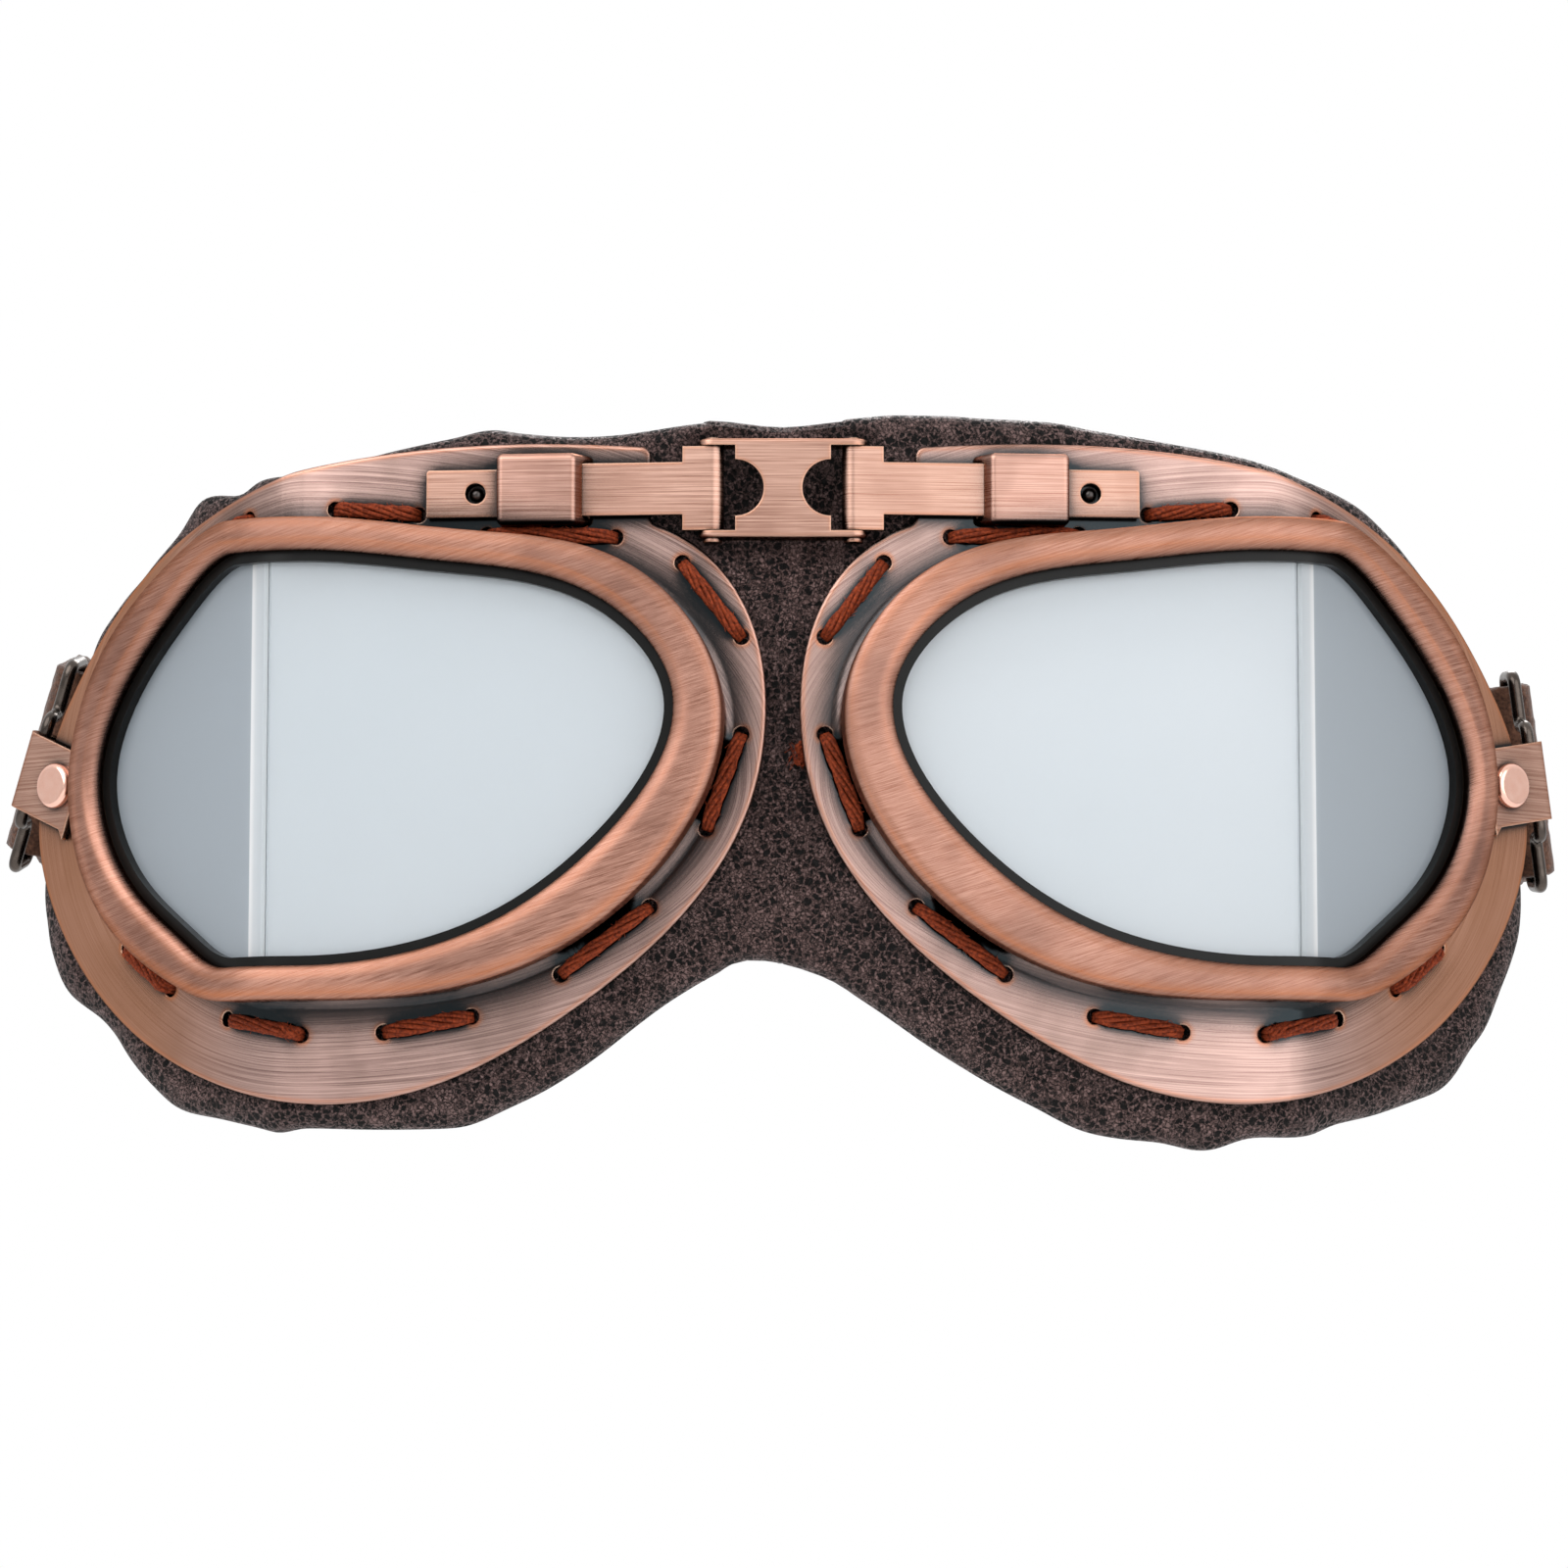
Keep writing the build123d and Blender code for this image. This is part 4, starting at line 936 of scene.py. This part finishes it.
# Face pads
# Soft foam behind each mask, crowned where it meets the face, in a knitted lining whose nap was
# brushed up, dark and without gloss, with a sewn welt round its edge.
pad_top, pad_deep, pad_inset = 5.3, 16.7, 5.4
lining, lining_tree, lining_shader = new_finish(
    "brushed_lining", {"Roughness": 0.95, "Specular IOR Level": 0.12}
)
lining_nap = mottle(lining_tree, lining_shader, 0.6, 4.0, "#120d0c", "#332724")
lining_bump = add_node(lining_tree, "Bump", {"Strength": 0.6, "Distance": 0.15 * MM, "Height": lining_nap})
lining_tree.links.new(lining_bump, lining_shader.inputs["Normal"])
pad_stations = (
    (0.0, -1.5, pad_top + 0.5), (0.0, -1.9, 8.0), (0.0, -2.0, 11.0), (0.0, -1.7, 14.0),
    (0.04, 0.0, 15.6), (0.16, 0.0, 16.4), (0.35, 0.0, pad_deep), (0.6, 0.0, pad_deep),
    (0.8, 0.0, 16.5), (0.93, 0.0, 15.9), (1.0, -4.9, 15.1), (1.0, -4.7, 15.45), (1.0, -4.2, 15.65),
    (1.0, -3.65, 15.5), (1.0, -3.4, 15.0), (1.0, -3.5, 14.5), (1.0, -3.85, 14.1), (1.0, -3.3, 13.3),
    (1.0, -2.8, 11.5), (1.0, -2.6, 9.5), (1.0, -2.8, 7.5), (1.0, -3.2, 6.0), (1.0, -4.2, pad_top),
    (0.6, 0.0, pad_top), (0.3, 0.0, pad_top), (0.05, 0.0, pad_top), (0.0, -1.5, pad_top + 0.5),
)

for side in sides:
    opening, outline = rings[side]

    def on_pad(column, row):
        share, past, sink = pad_stations[row]
        column %= ring_points
        spot = across_ring(opening[column], outline[column], share, past, pad_inset)
        spot.x = max(spot.x, -51.2 + 5.8 * (sink - pad_top) / (pad_deep - pad_top))
        return skin_place(spot.x, spot.y, sink, side, 0.5 * smooth_step(8, 14, sink))

    pad = piece_from(
        shaped_grid(side + "_foam_pad", ring_points, len(pad_stations) - 1, on_pad),
        side + "_foam_pad",
        lining,
        side + "_cup",
    )
    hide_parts(side + "_face_pad")

# Strap
# Dark brown woven elastic with a brushed nap, 24.5 mm wide and 2 mm thick. Each end is turned
# round the wire ring and sewn. The run beside the head is made in three lengths, cut along its
# route, that meet end to end.
strap_half_width, strap_half_sheet = 12.25, 1.0
strap_turns = {"left": 10.0, "right": 22.0}
ring_reach, sewn_length = 11.5, 12.0
bracket_reach, bar_out, bar_behind = 37.8, 6.3, 0.8
ply_offset = 1.95
band_side, band_back, band_radius, band_height = 96.0, 135.0, 74.0, 4.0
last_bend = 128.0
sewn_steps, turn_steps, straight_steps, arc_steps, band_steps = 16, 12, 44, 119, 24
rib_spacing, rib_height = 0.9, 0.05
nap_fine_size, nap_wide_size = 0.45, 3.5
strap_lengths = (
    ("_strap_front", 66.0, "_swivel", "_cup"),
    ("_strap_middle", 80.0, "_cup", "_slider_bar"),
    ("_strap_run", 200.0, "_slider_bar", "bridge"),
)

webbing, webbing_tree, webbing_shader = new_finish(
    "brushed_elastic",
    {"Roughness": 0.95, "Specular IOR Level": 0.2, "Sheen Weight": 0.4, "Sheen Roughness": 0.4},
)
webbing_place = add_node(webbing_tree, "TexCoord", output="Object")
nap_fine = add_node(
    webbing_tree,
    "TexNoise",
    {"Vector": webbing_place, "Scale": 1 / (nap_fine_size * MM), "Detail": 4.0, "Roughness": 0.7},
)
nap_wide = add_node(
    webbing_tree, "TexNoise", {"Vector": webbing_place, "Scale": 1 / (nap_wide_size * MM), "Detail": 2.0}
)
nap_sum = add_node(webbing_tree, "Math", (nap_wide, 0.35, nap_fine), operation="MULTIPLY_ADD")
nap_share = add_node(webbing_tree, "MapRange", (nap_sum, 0.47, 0.88))
webbing_tone = add_node(
    webbing_tree, "Mix", {0: nap_share, 6: colour("#2b1a12"), 7: colour("#6d4a39")}, output=2, data_type="RGBA"
)
webbing_tree.links.new(webbing_tone, webbing_shader.inputs["Base Color"])
webbing_bump = add_node(webbing_tree, "Bump", {"Strength": 0.8, "Distance": 0.25 * MM, "Height": nap_fine})
webbing_tree.links.new(webbing_bump, webbing_shader.inputs["Normal"])


def ring_frame(side):
    """Middle of a ring's bar in the bracket, and the directions back, along the bar and outward."""
    turn = radians(strap_turns[side])
    out = side_along * cos(turn) + upward * sin(turn)
    bar = side_ahead.cross(out)
    back = (Vector((0, 1, 0)) - bar * bar.y).normalized()
    middle = on_side(bracket_reach, rivet_place[1], 0) + out * bar_out - side_ahead * bar_behind
    return middle, back, bar, back.cross(bar)


# Strap section: shares of half the width and half the thickness, round the edge
section = [(-0.97 + 0.0746 * step, 1.0) for step in range(27)]
section += [(0.99, 0.75), (1.0, 0.25), (1.0, -0.25), (0.99, -0.75)]
section += [(0.97 - 0.0746 * step, -1.0) for step in range(27)]
section += [(-0.99, -0.75), (-1.0, -0.25), (-1.0, 0.25), (-0.99, 0.75)]


def strap_mesh(name, route, side, slack=1.0):
    """Webbing along a route of middle places with their directions across and outward."""

    def on_strap(column, row):
        middle, across, outward = route[column]
        wide, thick = section[row % len(section)]
        spot = middle + across * wide * strap_half_width * slack + outward * thick * strap_half_sheet * slack
        nap = 0.10 * noise.noise(spot * 1.3) + 0.06 * noise.noise(spot * 3.1)
        rib = rib_height * cos(2 * pi * wide * strap_half_width / rib_spacing) if abs(wide) < 0.97 else 0.0
        spot += outward * thick * (nap + rib) + across * wide * 1.6 * nap
        return mirrored(spot, side)

    return shaped_grid(name, len(route) - 1, len(section), on_strap, capped=True)


def turned_end(middle, back, bar, outward):
    """Route of an end: along its upper ply, round the ring's wire and back under it."""
    route = [
        (ring_reach + sewn_length * (1 - step / sewn_steps), ply_offset, 0.0, 1.0)
        for step in range(sewn_steps + 1)
    ]
    for step in range(1, turn_steps):
        turn = pi * step / turn_steps
        route.append((ring_reach - ply_offset * sin(turn), ply_offset * cos(turn), -sin(turn), cos(turn)))
    for step in range(sewn_steps + 1):
        share = step / sewn_steps
        rise = (ply_offset - 0.06) * smooth_step(0.15, 0.75, share)
        route.append((ring_reach + sewn_length * share, -ply_offset + rise, 0.0, -1.0))
    return [
        (middle + back * along + outward * off, bar, back * lean + outward * stand)
        for along, off, lean, stand in route
    ]


def round_head(middle, back, bar, outward):
    """Route from a sewn end beside the head, round its corner and to the middle of the band."""
    start = middle + back * (ring_reach + sewn_length - 3) + outward * ply_offset
    corner = Vector((band_side, band_back - band_radius, band_height))
    rearward = Vector((0, 1, 0))
    route = []
    for step in range(straight_steps + 1):
        share = step / straight_steps
        ease = smooth_step(0, 1, share)
        spot = start.lerp(corner, share)
        spot += back * 4 * share * (1 - share) ** 2 - rearward * 4 * share**2 * (1 - share)
        along = back.lerp(rearward, ease).normalized()
        across = bar.lerp(upward, ease)
        across = (across - along * across.dot(along)).normalized()
        route.append((spot, across, along.cross(across)))
    centre = Vector((band_side - band_radius, band_back - band_radius, band_height))
    for step in range(1, arc_steps + 1):
        turn = (pi / 2) * step / arc_steps
        out = Vector((cos(turn), sin(turn), 0))
        route.append((centre + out * band_radius, upward, out))
    for step in range(1, band_steps + 1):
        across_back = (band_side - band_radius) * (1 - step / band_steps)
        route.append((Vector((across_back, band_back, band_height)), upward, rearward))
    return route


for side in sides:
    middle, back, bar, outward = ring_frame(side)
    sewn_route = turned_end(middle, back, bar, outward)
    sewn_mesh = strap_mesh(side + "_sewn_end", sewn_route, side)
    sewn = piece_from(sewn_mesh, side + "_sewn_end", webbing, None)
    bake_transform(sewn)
    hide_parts(side + "_strap_end")

    straight = round_head(middle, back, bar, outward)
    first = 0
    for name, last_back, front_body, back_body in strap_lengths:
        behind = [step for step, station in enumerate(straight) if station[0].y > last_back]
        last = behind[0] if behind else len(straight) - 1
        length = piece_from(
            strap_mesh(side + name, straight[first : last + 1], side, 0.985),
            side + name,
            webbing,
            None,
            sharp_past=60,
        )
        begin, end = straight[first][0].y + 1, min(straight[last][0].y - 1, last_bend)
        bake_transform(length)
        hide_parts(side + "_strap_side", *(["strap_band"] if back_body == "bridge" else []))
        first = last
